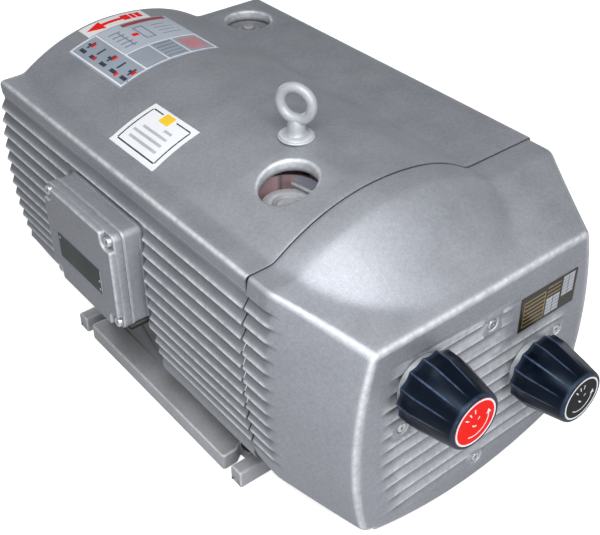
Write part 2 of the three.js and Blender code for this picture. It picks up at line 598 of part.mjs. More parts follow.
piece('pump_coupling_hub', pumpCouplingHub(), steel, drive);
piece('coupling_spider', couplingSpider(), rubber, drive);
piece('coupling_fan', couplingFan(), whitePlastic, drive);
piece('motor_fan', motorFan(), whitePlastic, drive);

// ---- motor --------------------------------------------------------------------------------------
function motorFrame() {
  const shell = rodY(MOTOR_RADIUS, AXIS_X, AXIS_Z, MOTOR_FRONT, MOTOR_REAR, 36);
  const feet = footBar(FOOT.ys[1]);
  const pillars = [-95, 0].map((x) => block(x, x + 25, 494, 518, FOOT_TOP + 10, AXIS_Z - 60));
  const neck = block(LEFT_WALL + 5 + GAP, AXIS_X - 60, 392, 446, BOX.z0 + 20, BOX.z1 - 20);
  return cut(join([shell, feet, ...pillars, neck]), [
    rodY(78, AXIS_X, AXIS_Z, MOTOR_FRONT + 8, MOTOR_REAR - 8, 36),
    rodY(14, AXIS_X, AXIS_Z, MOTOR_FRONT - 1, MOTOR_REAR + 1, 20),
    block(LEFT_WALL, AXIS_X - 50, 400, 438, BOX.z0 + 28, BOX.z1 - 28),
  ]);
}

function motorStator() {
  return turned([[52, 400], [70, 400], [70, 412], [78 - GAP, 412], [78 - GAP, 556], [70, 556], [70, 568],
    [52, 568], [52, 556], [48, 556], [48, 412], [52, 412]], 24, true);
}

function motorRotor() {
  return turned([[0, 340], [SHAFT_RADIUS, 340], [SHAFT_RADIUS, 412], [47.3, 412], [47.3, 556],
    [SHAFT_RADIUS, 556], [SHAFT_RADIUS, 612], [0, 612]], 24);
}

piece('motor_frame', motorFrame(), barePaint);
piece('motor_stator', motorStator(), electricalSteel, drive);
piece('motor_rotor', motorRotor(), steel, drive);

// ---- air path -----------------------------------------------------------------------------------
// Silencer on the discharge side, with an inlet stub at the cylinder and a port under the hood's
// rear access hole.
function dischargeSilencer() {
  const tank = block(108, 184, 262, 628, 110, 286);
  const hollow = block(112, 180, 266, 624, 114, 282);
  const stub = rodX(19, 284, boreCentreZ, AXIS_X + CYLINDER_RADIUS + 2, 110, 20);
  const port = rodZ(PORT_BOSS, DISCHARGE_PORT.x, DISCHARGE_PORT.y, 284, DISCHARGE_PORT.top, 28);
  return cut(join([tank, stub, port]), [
    hollow,
    rodX(13, 284, boreCentreZ, AXIS_X, 115, 16),
    rodZ(19.3, DISCHARGE_PORT.x, DISCHARGE_PORT.y, DISCHARGE_PORT.top - 15, DISCHARGE_PORT.top + 1, 24),
    rodZ(12, DISCHARGE_PORT.x, DISCHARGE_PORT.y, 270, DISCHARGE_PORT.top, 16),
  ]);
}

function filterCartridge() {
  return turned([[26, 20], [46, 20], [46, 118], [26, 118]], 24, true).translate([14, 0, SHOULDER - 92]);
}

piece('discharge_silencer', dischargeSilencer(), barePaint);
piece('discharge_port_plug', socketPlug(19, DISCHARGE_PORT.x, DISCHARGE_PORT.y, DISCHARGE_PORT.top), steel);
piece('filter_cartridge', filterCartridge(), filterPaper);

// ---- origin: middle of the outer box, on the floor ----------------------------------------------
const outer = new THREE.Box3().setFromObject(machine);
const middle = outer.getCenter(new THREE.Vector3());
machine.position.set(-middle.x, -middle.y, -outer.min.z);

const pump = new THREE.Group();
pump.add(machine);

export default pump;
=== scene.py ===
"""Dry-running rotary vane vacuum pump under a ribbed cast hood: two regulating knobs on a louvred panel,
a terminal box on one side, and a low base on rubber buffers."""
import math

import bmesh
import bpy
import numpy as np
from mathutils import Matrix, Vector


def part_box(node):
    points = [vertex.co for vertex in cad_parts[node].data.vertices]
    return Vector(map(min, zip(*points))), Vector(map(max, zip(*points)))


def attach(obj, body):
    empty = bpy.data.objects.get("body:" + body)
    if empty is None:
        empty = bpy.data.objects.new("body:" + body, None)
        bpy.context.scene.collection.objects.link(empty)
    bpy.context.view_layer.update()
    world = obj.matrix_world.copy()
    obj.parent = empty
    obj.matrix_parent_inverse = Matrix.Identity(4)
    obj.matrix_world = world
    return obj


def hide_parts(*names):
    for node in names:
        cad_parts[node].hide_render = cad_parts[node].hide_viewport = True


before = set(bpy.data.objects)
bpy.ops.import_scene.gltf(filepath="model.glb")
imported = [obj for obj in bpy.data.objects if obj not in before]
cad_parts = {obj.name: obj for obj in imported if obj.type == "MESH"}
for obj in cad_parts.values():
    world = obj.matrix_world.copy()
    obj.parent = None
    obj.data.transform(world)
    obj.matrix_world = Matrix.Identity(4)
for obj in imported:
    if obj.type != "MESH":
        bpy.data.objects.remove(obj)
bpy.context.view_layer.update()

bl_info = {
    "name": "Rotary Vane Vacuum Pump",
    "version": (1, 0, 0),
    "blender": (4, 5, 0),
    "location": "3D View > Sidebar > Pump",
    "description": "Hooded dry-running vacuum pump with knobs, terminal box, base and labels",
    "category": "Add Mesh",
}

# ---- layout, in millimetres: X 0 near the hood's middle, Y 0 at the panel, Z 0 at the floor ---------
MILLI = 0.001
HOOD_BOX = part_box("rear_hood")
COVER_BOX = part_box("front_cover")
MIDDLE = 2.5
ORIGIN = np.array([(HOOD_BOX[0].x + HOOD_BOX[1].x) / 2, COVER_BOX[0].y, 0.0]) / MILLI - [MIDDLE, 0, 0]

SHOULDER = 328.0
SHOULDER_RISE = 5.0
HALF_WIDTH = 202.5
HOOD_FRONT = 130.0
TAPER_START = 97.0
ARCH_X = -35.0
ARCH_HALF = 131.5
ARCH_RISE = 42.6
ARCH_RADIUS = (ARCH_HALF ** 2 + ARCH_RISE ** 2) / (2 * ARCH_RISE)
DOME_LENGTH = 114.0
NOSE_POWER = (2.0, 3.2)
SIDE_BULGE = 9.9
BULGE_LEVEL = -118.0
BULGE_SPAN = 108.0
RIB_COUNT = 11
RIB_PITCH = 18.25
RIB_TOP = -36.8
SKIRT_Z = -238.0
UNDER_RADIUS = 25.0
CORNER_RADIUS = 6.0
PANEL_TOP = -38.0
PANEL_CORNER = -286.0
PANEL_BELLY = 29.0
PANEL_HALF = 154.2
PANEL_BULGE = 19.0
PANEL_NOSE = 5.0
RIBS_FADED = 84.0
# Darker colour on the rows that curl into the seam between hood and cover.
SEAM_DARKENING = -0.45
SUCTION = (-96.5, 195.0)
DISCHARGE = (146.0, 593.0)
ACCESS_RADIUS = 31.0
ACCESS_HOLES = ((SUCTION, (-142, -52), (149, 241)), (DISCHARGE, (105, 185), (550, 635)))
PAD = (311.0, 477.0)
CUT_LEVEL = RIB_TOP - 8 * RIB_PITCH + 5.5
CUT_RADIUS = 18.0
EYE = (-45.0, 246.0)
BOX_X = (-243.0, -225.5, -200.3)
BOX_Y = (319.0, 469.0)
BOX_Z = (155.0, 284.0)
BOX_NOTCH = 18.0
PANEL_SCREWS = ((13.0, -88.0), (-108.0, -157.0), (15.0, -284.0), (127.0, -156.0))
LOUVRE_LEVELS = np.array([-80.7, -99.7, -119.9, -138.8, -157.1, -176.5, -194.6, -215.2, -234.3, -255.3,
                          -274.1])
LOUVRE_LEFT = np.array([-127.0, -130, -137, -132, -135, -134, -133, -131, -128, -120, -117])
LOUVRE_RIGHT = np.array([40.0, 42, 44, 134, 136, 136, 135, 133, 129, 122, 117])
RED_KNOB = (-91.0, 228.0)
BLACK_KNOB = (81.0, 152.0)
KNOB_BACK = -9.7
KNOB_TIP = -75.7
BUFFER_TOP = 59.7
BUFFER_RADIUS = 14.0
BEAM_HEIGHT = 23.0
BEAM_HALF = 195.5
END_RING = 0.4
FINE = 0.002
AIM = (0.0, -0.1, 0.25)
MIRRORED = 0.25
UPWARD, OUT_OF_PANEL = (0, 0, 1), (0, -1, 0)
CORNER_PULL = 0.72


def lerp(a, b, t):
    """The point a share t of the way from a to b."""
    return a + (b - a) * t


def ramp(value, low, high):
    """0 below low, 1 above high, and a smooth cubic step between."""
    t = np.clip((value - low) / (high - low), 0, 1)
    return t * t * (3 - 2 * t)


def stations(anchors, step):
    """Numbers that pass through every anchor and are at most a step apart, evenly spread between two
    anchors."""
    runs = [np.linspace(a, b, max(1, math.ceil(abs(b - a) / step)) + 1)[:-1] for a,
            b in zip(anchors, anchors[1:])]
    return np.concatenate(runs + [np.array([anchors[-1]], float)])


# ---- the hood's and the cover's shape --------------------------------------------------------------
def ridge(x, y):
    """Height of the top over the left shoulder. A circular arc runs across; ahead of the seam its distance
    from the middle grows with the distance ahead as the root of a sum of powers, which closes it in a nose
    that is elliptical on the left and squarer on the right, where the power is higher. A soft maximum with
    zero, (arc + sqrt(arc^2 + soft^2)) / 2, runs it into the flat shoulders, and a smooth step across raises
    the right one."""
    across = (x - ARCH_X) / ARCH_HALF
    ahead = np.maximum(0, HOOD_FRONT - y) / DOME_LENGTH
    power = lerp(*NOSE_POWER, ramp(across, -0.3, 0.9))
    out = np.minimum((np.abs(across) ** power + ahead ** power) ** (1 / power), 1.65)
    arc = np.sqrt(ARCH_RADIUS ** 2 - (out * ARCH_HALF) ** 2) - (ARCH_RADIUS - ARCH_RISE)
    soft = lerp(2.2, 3.4, ramp(ahead, 0.0, 0.5))
    rise = (SHOULDER_RISE * ramp(x, ARCH_X, ARCH_X + ARCH_HALF)
            * lerp(0.3, 1.0, np.clip(y / TAPER_START, 0, 1)))
    return (arc + np.sqrt(arc ** 2 + soft ** 2)) / 2 + rise


def on_top(a, b, lift):
    """The point over (a, b), a lift above the hood's top."""
    return np.stack([a, b, SHOULDER + ridge(a, b) + lift], axis=-1)


def on_panel(a, b, lift):
    """The point at (a, b) on the panel, a lift ahead of it."""
    return np.stack([a, 0 * a - lift, b + SHOULDER], axis=-1)


def side_reach(z):
    """Half width of the barrel sides: a parabola in height."""
    return HALF_WIDTH + SIDE_BULGE * (1 - ((z - BULGE_LEVEL) / BULGE_SPAN) ** 2)


def taper(y):
    """0 behind the taper's start and 1 at the panel: a soft maximum of zero and an even fall."""
    ahead = (TAPER_START - y) / TAPER_START
    return np.minimum((ahead + np.sqrt(ahead ** 2 + 0.0008)) / 2, 1.0)


def cover_reach(y, z):
    """Half width of the front cover: the hood's behind the taper, drawn in evenly to the barrel-sided
    panel."""
    panel = PANEL_HALF + PANEL_BULGE * (1 - ((z + 165) / 127) ** 2)
    return lerp(side_reach(z), panel, taper(y))


# One rib from the top down: distance from its crest, share of the depth it is sunk there, and its wear and
# shade.
FAR_SIDE = np.array([0.79, 0.61])
RIB_STEPS = np.array([11.0, 10.2, 8.2, 5.5, 3.2, 1.7, 0.9, 0.2, -0.5, -1.2, -2.2, -3.6, -4.7, -5.6])
RIB_SINK = np.array([1.0, 0.93, 0.72, 0.46, 0.23, 0.08, 0.02, 0.0, 0.03, 0.14, 0.42, 0.82, 0.97, 1.0])
# Above zero a rubbed crest, lightened also as a painted highlight; below zero painted shade in the groove
# and under the crest.
RIB_WEAR_AND_SHADE = np.array([-0.38, -0.36, -0.32, -0.2, 0.2, 0.85, 1.0, 1.0, 1.0, 0.5, -0.35, -0.55, -0.5, -0.42])


def rib_levels():
    """Heights, sink shares, and wear with painted highlight and shade, of all the ribs of one side, from
    the top down.
    """
    crest = RIB_TOP - RIB_PITCH * np.arange(RIB_COUNT)[:, None]
    return (crest + RIB_STEPS).ravel(), np.tile(RIB_SINK, RIB_COUNT), np.tile(RIB_WEAR_AND_SHADE, RIB_COUNT)


def along_axis(axis, along, a, b):
    """Points with one measure along the named axis and the other two across it, in the order of the
    axes."""
    return np.stack({"x": (along, a, b), "y": (a, along, b), "z": (a, b, along)}[axis], axis=-1)


class Surface:
    """Grids of points gathered into one mesh, in layout millimetres, each point with a share of edge wear:
    above zero a lighter worn colour, for wear and painted highlights, and below zero painted shade."""

    def __init__(self):
        self.points, self.faces, self.wear, self.count = [], [], [], 0

    def grid(self, points, wear=0.0, keep=None, round_rows=False, round_columns=False):
        """Quads over a rows x columns grid of points; a kept mask drops some, and either way can close on
        itself."""
        points = np.asarray(points, float)
        rows, columns = points.shape[:2]
        index = np.arange(rows * columns).reshape(rows, columns) + self.count
        if round_rows:
            index = np.concatenate([index, index[:1]])
        if round_columns:
            index = np.concatenate([index, index[:, :1]], axis=1)
        quads = np.stack([index[:-1, :-1], index[:-1, 1:], index[1:, 1:], index[1:, :-1]], axis=-1)
        self.faces.append(quads[keep] if keep is not None else quads.reshape(-1, 4))
        self.points.append(points.reshape(-1, 3))
        self.wear.append(np.broadcast_to(np.asarray(wear, float), (rows, columns)).ravel())
        self.count += rows * columns
        return self

    def lathe(self, profile, centre, axis="y", sides=64, wear=0.0, radius=None):
        """A profile of [radius, distance] pairs turned about an axis through a centre. A radius function of
        (distance, angle, profile radius) can flute it."""
        profile = np.asarray(profile, float)
        angle = np.arange(sides) * 2 * np.pi / sides
        r = np.repeat(profile[:, :1], sides, axis=1)
        along = np.repeat(profile[:, 1:], sides, axis=1)
        if radius is not None:
            r = radius(along, angle[None, :], r)
        a, b = r * np.cos(angle), r * np.sin(angle)
        wear = np.asarray(wear, float)
        wear = wear[:, None] if wear.ndim == 1 else wear
        return self.grid(along_axis(axis, along, a, b) + np.asarray(centre, float), wear,
                         round_columns=True)


def outline_normals(outline):
    """Outward unit normals of a closed anticlockwise outline, from its neighbours on both sides."""
    along = np.roll(outline, -1, axis=0) - np.roll(outline, 1, axis=0)
    normal = np.stack([along[:, 1], -along[:, 0]], axis=1)
    return normal / np.maximum(np.linalg.norm(normal, axis=1, keepdims=True), 1e-9)


def rounded_outline(corners, radii, steps=6):
    """A polygon with each corner turned into an arc: the arc's points are a quadratic blend of the corner
    and of the two points a radius away from it along its sides."""
    corners = np.asarray(corners, float)
    radii = np.broadcast_to(np.asarray(radii, float), (len(corners),))
    before, after = np.roll(corners, 1, axis=0) - corners, np.roll(corners, -1, axis=0) - corners
    before = before / np.linalg.norm(before, axis=1, keepdims=True) * radii[:, None]
    after = after / np.linalg.norm(after, axis=1, keepdims=True) * radii[:, None]
    t = np.linspace(0, 1, steps)[None, :, None]
    start, middle, end = (corners + before)[:, None], corners[:, None], (corners + after)[:, None]
    pull = 2 * CORNER_PULL * t * (1 - t)
    arc = ((1 - t) ** 2 * start + pull * middle + t ** 2 * end) / ((1 - t) ** 2 + pull + t ** 2)
    return arc.reshape(-1, 2)


def slab(surface, outline, rows, axis, wear_edges, start=0.0):
    """An outline pushed along an axis: each row is (distance from the start, inset), the outline
    drawn in along its normals.
    Both ends are closed by a narrow ring and a fan to the middle, and the wear is on the slanting rows."""
    normals = outline_normals(outline)
    middle = outline.mean(axis=0)
    rows = np.asarray(rows, float)
    rings = outline[None] - normals[None] * rows[:, 1][:, None, None]
    along = rows[:, 0] + start
    run, draw = np.gradient(rows[:, 0]), np.gradient(rows[:, 1])
    slant = np.abs(draw) / np.maximum(np.abs(draw) + np.abs(run), 1e-9)
    worn = wear_edges * np.clip(4 * slant * (1 - slant), 0, 1)
    first, last = rings[:1] - normals[None] * END_RING, rings[-1:] - normals[None] * END_RING
    hub = np.broadcast_to(middle, rings[:1].shape)
    rings = np.concatenate([hub, first, rings, last, hub])
    along = np.concatenate([[along[0]] * 2, along, [along[-1]] * 2])
    worn = np.concatenate([[0, 0], worn, [0, 0]])
    depth = np.broadcast_to(along[:, None], rings.shape[:2])
    points = along_axis(axis, depth, rings[..., 0], rings[..., 1])
    return surface.grid(points, worn[:, None], round_columns=True)


def bevel_rows(start, end, radius):
    """Rows of (distance, inset) for a slab with both ends rounded by quarter circles."""
    angle = np.linspace(0, np.pi / 2, 5)
    sense = math.copysign(1, end - start)
    first = [(start + sense * radius * (1 - math.cos(a)), radius * (1 - math.sin(a))) for a in angle]
    last = [(end - sense * radius * (1 - math.cos(a)), radius * (1 - math.sin(a))) for a in angle[::-1]]
    return first + last


def opening(surface, loop, centre, radius, place, rim, depth, floor=False):
    """A round opening in a square patch. Straight lines run from the patch's outer loop to the circle at
    the same angle; there the surface rolls over a quarter round and goes down a wall, to a floor where it
    has one. place(a, b, down) gives the point of the sheet at (a, b), sunk by down."""
    centre = np.asarray(centre, float)
    reach = loop - centre
    heading = reach / np.linalg.norm(reach, axis=1, keepdims=True)
    t = np.linspace(0, 1, 7)
    flat = lerp(loop[None], (centre + heading * (radius + rim))[None], t[:, None, None])
    angle = np.linspace(0, np.pi / 2, 5)[1:]
    ring = np.concatenate([radius + rim * (1 - np.sin(angle)), [radius, radius]])
    sunk = np.concatenate([0 * t, rim * (1 - np.cos(angle)), [(rim + depth) / 2, depth]])
    worn = np.concatenate([0.15 * t, [0.56, 0.8, 0.8, 0.72, 0.6, 0.4]])
    if floor:
        ring = np.concatenate([ring, [radius - 0.6, radius - 1.2, 0.0]])
        sunk = np.concatenate([sunk, [depth + 0.4] * 3])
        worn = np.concatenate([worn, np.zeros(3)])
    points = np.concatenate([flat, centre + heading[None] * ring[:, None, None]])
    sunk, worn = sunk[:, None], worn[:, None]
    # Open holes get the lighter rim only on the far side, where the wall faces the lamps: edge wear with a
    # painted highlight. Recesses with a floor get it all round.
    wear_and_light = 1.0 if floor else ramp(heading @ FAR_SIDE, -0.8, 0.0)
    surface.grid(place(points[..., 0], points[..., 1], sunk), worn * wear_and_light, round_columns=True)


def block_loop(a, b, i0, i1, j0, j1):
    """The grid points round a block of a grid, in order, as one closed loop."""
    def side(rows, columns):
        return np.stack([a[rows, columns], b[rows, columns]], axis=-1)
    run_i, run_j = np.arange(i0, i1), np.arange(j0, j1)
    return np.concatenate([
        side(np.full_like(run_j, i0), run_j),
        side(run_i, np.full_like(run_i, j1)),
        side(np.full_like(run_j, i1), run_j[::-1] + 1),
        side(run_i[::-1] + 1, np.full_like(run_i, j0)),
    ])


def finish_piece(name, surface, look, stands_for=(), body="machine", wall=0.0, crease=40.0,
                 merge=0.01, up=None):
    """Turns the gathered grids into one object on a body: doubles merged, faces outward, flat faces kept
    crisp, and a wall thickness inward where one is given."""
    points = (np.concatenate(surface.points) + ORIGIN) * MILLI
    quads = np.concatenate(surface.faces).astype(np.int32)
    mesh = bpy.data.meshes.new(name)
    mesh.vertices.add(len(points))
    mesh.vertices.foreach_set("co", points.astype(np.float32).ravel())
    mesh.loops.add(quads.size)
    mesh.loops.foreach_set("vertex_index", quads.ravel())
    mesh.polygons.add(len(quads))
    mesh.polygons.foreach_set("loop_start", np.arange(0, quads.size, 4, dtype=np.int32))
    # The per-point wear values: edge wear and painted highlights above zero, painted shade below zero.
    wear = mesh.attributes.new("wear_and_shade", "FLOAT", "POINT")
    wear.data.foreach_set("value", np.concatenate(surface.wear).astype(np.float32))
    mesh.update(calc_edges=True)
    shape = bmesh.new()
    shape.from_mesh(mesh)
    bmesh.ops.remove_doubles(shape, verts=shape.verts, dist=merge * MILLI)
    bmesh.ops.recalc_face_normals(shape, faces=shape.faces)
    loose = [v for v in shape.verts if not v.link_faces]
    bmesh.ops.delete(shape, geom=loose, context="VERTS")
    shape.to_mesh(mesh)
    shape.free()
    count = len(mesh.polygons)
    normal, centre, area = np.empty(count * 3), np.empty(count * 3), np.empty(count)
    mesh.polygons.foreach_get("normal", normal)
    mesh.polygons.foreach_get("center", centre)
    mesh.polygons.foreach_get("area", area)
    normal, centre = normal.reshape(-1, 3), centre.reshape(-1, 3)
    outward = centre - centre.mean(axis=0) if up is None else np.asarray(up, float)
    if ((normal * outward).sum(axis=1) * area).sum() < 0:
        mesh.flip_normals()
    mesh.shade_smooth()
    mesh.set_sharp_from_angle(angle=math.radians(crease))
    made = bpy.data.objects.new(name, mesh)
    bpy.context.scene.collection.objects.link(made)
    mesh.materials.append(finish(look))
    if wall:
        thick = made.modifiers.new("wall", "SOLIDIFY")
        thick.thickness = wall * MILLI
        thick.offset = -1.0
    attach(made, body)
    if stands_for:
        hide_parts(*stands_for)
    return made


# ---- materials -------------------------------------------------------------------------------------
def group(name, inputs, outputs):
    """An empty node group with named inputs (socket type, default) and outputs."""
    tree = bpy.data.node_groups.new(name, "ShaderNodeTree")
    for label, (kind, default) in inputs.items():
        socket = tree.interface.new_socket(name=label, in_out="INPUT", socket_type=kind)
        socket.default_value = default
    for label, kind in outputs.items():
        tree.interface.new_socket(name=label, in_out="OUTPUT", socket_type=kind)
    return tree, tree.nodes.new("NodeGroupInput"), tree.nodes.new("NodeGroupOutput")


def node(tree, kind, links=(), **values):
    """A node with its properties set by name, and its inputs set or linked by (input, value or output
    socket)."""
    made = tree.nodes.new(kind)
    for label, value in values.items():
        setattr(made, label, value)
    for key, value in links:
        if isinstance(value, bpy.types.NodeSocket):
            tree.links.new(value, made.inputs[key])
        else:
            made.inputs[key].default_value = value
    return made


def noise(tree, place, scale, detail, roughness):
    """Fractal noise from 0 to 1."""
    made = node(tree, "ShaderNodeTexNoise", [("Vector", place), ("Scale", scale), ("Detail", detail),
                                             ("Roughness", roughness)])
    return made.outputs["Fac"]


def spread(tree, value, low, high, to_low=0.0, to_high=1.0):
    """A value carried evenly from one range to another and held at its ends."""
    made = node(tree, "ShaderNodeMapRange", [("Value", value), ("From Min", low), ("From Max", high),
                                             ("To Min", to_low), ("To Max", to_high)])
    return made.outputs["Result"]


def maths(tree, kind, first, second):
    """One sum of two values."""
    return node(tree, "ShaderNodeMath", [(0, first), (1, second)], operation=kind).outputs[0]


def blend_colour(tree, factor, first, second):
    """The mix of two colours, from the first at 0 to the second at 1."""
    return node(tree, "ShaderNodeMix", [(0, factor), (6, first), (7, second)], data_type="RGBA").outputs[2]


def speckle_group():
    """Fine two-scale grain: a cell-sized sparkle and a soft mottle, as a colour and as a height."""
    tree, given, out = group("Casting Speckle", {
        "Vector": ("NodeSocketVector", (0, 0, 0)), "Colour": ("NodeSocketColor", (0.5, 0.5, 0.5, 1)),
        "Grain Scale": ("NodeSocketFloat", 700.0), "Grain": ("NodeSocketFloat", 0.1),
        "Mottle Scale": ("NodeSocketFloat", 18.0), "Mottle": ("NodeSocketFloat", 0.06)},
        {"Colour": "NodeSocketColor", "Height": "NodeSocketFloat", "Mask": "NodeSocketFloat"})
    place = given.outputs["Vector"]
    grain = noise(tree, place, given.outputs["Grain Scale"], 2.0, 0.6)
    coarse = noise(tree, place, maths(tree, "MULTIPLY", given.outputs["Grain Scale"], 0.36), 2.0, 0.6)
    mottle = noise(tree, place, given.outputs["Mottle Scale"], 3.0, 0.55)
    both = maths(tree, "ADD", maths(tree, "MULTIPLY", grain, 0.6), maths(tree, "MULTIPLY", coarse, 0.4))
    fine = maths(tree, "MULTIPLY", spread(tree, both, 0.33, 0.67, -1.0, 1.0), given.outputs["Grain"])
    broad = maths(tree, "MULTIPLY", spread(tree, mottle, 0.3, 0.7, -1.0, 1.0), given.outputs["Mottle"])
    gain = maths(tree, "ADD", maths(tree, "ADD", fine, broad), 1.0)
    lit = node(tree, "ShaderNodeVectorMath", [(0, given.outputs["Colour"]), ("Scale", gain)],
               operation="SCALE")
    tree.links.new(lit.outputs[0], out.inputs["Colour"])
    tree.links.new(both, out.inputs["Height"])
    tree.links.new(mottle, out.inputs["Mask"])
    return tree


def wear_and_shade_group():
    """Rubbed edges with painted highlights, and painted shade: where the wear attribute and a broken noise
    are both high, a lighter worn colour shows, for wear and for painted highlights, and where the attribute
    is below zero a dark colour is painted in, as shade in grooves and recesses and as a darker seam."""
    tree, given, out = group("Edge Wear", {
        "Vector": ("NodeSocketVector", (0, 0, 0)), "Colour": ("NodeSocketColor", (0.5, 0.5, 0.5, 1)),
        "Worn And Highlight Colour": ("NodeSocketColor", (0.8, 0.8, 0.8, 1)), "Scale": ("NodeSocketFloat", 120.0),
        "Amount": ("NodeSocketFloat", 0.6), "Shade Colour": ("NodeSocketColor", (0.02, 0.024, 0.03, 1))},
        {"Colour": "NodeSocketColor", "Mask": "NodeSocketFloat"})
    edge = node(tree, "ShaderNodeAttribute", attribute_name="wear_and_shade").outputs["Fac"]
    chips = noise(tree, given.outputs["Vector"], given.outputs["Scale"], 4.0, 0.65)
    broken = spread(tree, spread(tree, chips, 0.32, 0.62), 0.0, 1.0, 0.45, 1.0)
    mask = maths(tree, "MULTIPLY", maths(tree, "MULTIPLY", edge, broken), given.outputs["Amount"])
    colour = blend_colour(tree, mask, given.outputs["Colour"], given.outputs["Worn And Highlight Colour"])
    painted_shade = spread(tree, edge, 0.0, -1.0, 0.0, 0.9)
    tree.links.new(blend_colour(tree, painted_shade, colour, given.outputs["Shade Colour"]), out.inputs["Colour"])
    tree.links.new(mask, out.inputs["Mask"])
    return tree


def dust_group():
    """Settled dust: thicker on faces that look up, broken by a soft noise."""
    tree, given, out = group("Settled Dust", {
        "Vector": ("NodeSocketVector", (0, 0, 0)), "Colour": ("NodeSocketColor", (0.5, 0.5, 0.5, 1)),
        "Dust": ("NodeSocketColor", (0.6, 0.58, 0.55, 1)), "Amount": ("NodeSocketFloat", 0.2)},
        {"Colour": "NodeSocketColor", "Mask": "NodeSocketFloat"})
    normal = node(tree, "ShaderNodeNewGeometry").outputs["Normal"]
    up = node(tree, "ShaderNodeSeparateXYZ", [(0, normal)]).outputs[2]
    patches = spread(tree, noise(tree, given.outputs["Vector"], 22.0, 5.0, 0.6), 0.35, 0.75)
    mask = maths(tree, "MULTIPLY", maths(tree, "MULTIPLY", spread(tree, up, 0.2, 1.0), patches),
                 given.outputs["Amount"])
    tree.links.new(blend_colour(tree, mask, given.outputs["Colour"], given.outputs["Dust"]),
                   out.inputs["Colour"])
    tree.links.new(mask, out.inputs["Mask"])
    return tree


GROUPS = {}


def effect(tree, build, links):
    """A node of the effect's group, which is built the first time it is asked for."""
    if build not in GROUPS:
        GROUPS[build] = build()
    return node(tree, "ShaderNodeGroup", links, node_tree=GROUPS[build])


def coating(name, colour, worn=(0.8, 0.8, 0.8), rough=0.45, metal=0.0, grain=0.08, grain_scale=700.0,
            mottle=0.05, bump=0.15, wear=0.5, dust=0.0, spec=0.5, coat=0.0, tint=(1, 1, 1), shade=1.0):
    """A surface of speckle, rubbed edges with painted highlights and painted shade, and dust on the
    object's own coordinates, with its grain in the bump and its roughness varied by the mottle. The shade
    scales the colour."""
    colour = [shade * part for part in colour]
    made = bpy.data.materials.new(name)
    made.use_nodes = True
    tree = made.node_tree
    shader = tree.nodes["Principled BSDF"]
    place = node(tree, "ShaderNodeTexCoord").outputs["Object"]
    paint = effect(tree, speckle_group, [
        ("Vector", place), ("Colour", (*colour, 1)), ("Grain Scale", grain_scale), ("Grain", grain),
        ("Mottle", mottle)])
    dusty = effect(tree, dust_group,
                   [("Vector", place), ("Colour", paint.outputs["Colour"]), ("Amount", dust)])
    wear_and_light = effect(tree, wear_and_shade_group, [
        ("Vector", place), ("Colour", dusty.outputs["Colour"]), ("Worn And Highlight Colour", (*worn, 1)),
        ("Amount", wear)])
    tree.links.new(wear_and_light.outputs["Colour"], shader.inputs["Base Color"])
    rough_map = spread(tree, paint.outputs["Mask"], 0.3, 0.7, rough - 0.05, rough + 0.07)
    tree.links.new(rough_map, shader.inputs["Roughness"])
    relief = node(tree, "ShaderNodeBump",
                  [("Height", paint.outputs["Height"]), ("Strength", bump), ("Distance", 0.0006)])
    tree.links.new(relief.outputs["Normal"], shader.inputs["Normal"])
    if metal:
        bare = spread(tree, wear_and_light.outputs["Mask"], 0.0, 1.0, metal, metal * 0.4)
        tree.links.new(bare, shader.inputs["Metallic"])
    shader.inputs["Specular IOR Level"].default_value = spec
    if coat:
        shader.inputs["Coat Weight"].default_value = coat
        shader.inputs["Coat Roughness"].default_value = 0.12
    shader.inputs["Specular Tint"].default_value = (*tint, 1)
    return made


def srgb(red, green, blue):
    """A display colour of 0 to 255 as linear light."""
    values = np.array([red, green, blue]) / 255
    return tuple(np.where(values <= 0.04045, values / 12.92, ((values + 0.055) / 1.055) ** 2.4))


def tone(name, description, red, green, blue):
    """A colour property whose default is a display colour."""
    return bpy.props.FloatVectorProperty(name=name, description=description, subtype="COLOR", size=3,
                                         min=0, max=1, default=srgb(red, green, blue))


def length(name, description, default, low, high):
    """A length property, in metres."""
    return bpy.props.FloatProperty(name=name, description=description, unit="LENGTH", default=default,
                                   min=low, max=high)


class PumpColours(bpy.types.PropertyGroup):
    """Base colours of the pump's finishes."""

    paint: tone("Casting paint", "Cool silver-grey paint on the hood, cover and terminal box",
                154, 157, 164)
    base_paint: tone("Base paint", "Grey paint on the base bars", 172, 173, 178)
    plastic: tone("Knob plastic", "Blue-black plastic of the knobs", 4, 8, 20)
    red: tone("Red", "Red of the knob disc and the label arrows", 232, 26, 18)
    white: tone("White", "White of the labels and the printed rings", 228, 230, 233)
    plate: tone("Dark plate", "Dark plate on the panel", 40, 36, 30)
    amber: tone("Amber", "Amber field of the side label", 236, 196, 40)


class PumpSizes(bpy.types.PropertyGroup):
    """Sizes of the details that the frame leaves open."""

    rib_depth: length("Rib depth", "Depth of the side ribs", 0.005, 0.001, 0.008)
    seam_step: length("Seam step", "Height by which the hood's rounded lip stands over the front cover",
                      0.0013, 0, 0.004)
    louvre_depth: length("Louvre depth", "Depth of the panel's grooves", 0.0052, 0, 0.006)
    rim_depth: length("Rim depth", "Height of the rim wall of the access holes", 0.013, 0.003, 0.02)
    flutes: bpy.props.IntProperty(
        name="Knob flutes", description="Number of scallops round a knob's skirt", default=14, min=8,
        max=32)
    flute_depth: length("Flute depth", "Depth of the scallops", 0.003, 0, 0.004)
    label_lift: length("Label thickness", "Thickness of the stuck-on labels", 0.0004, 0.0001, 0.001)


def sizes():
    """The sizes set in the sidebar."""
    return bpy.context.scene.pump_sizes
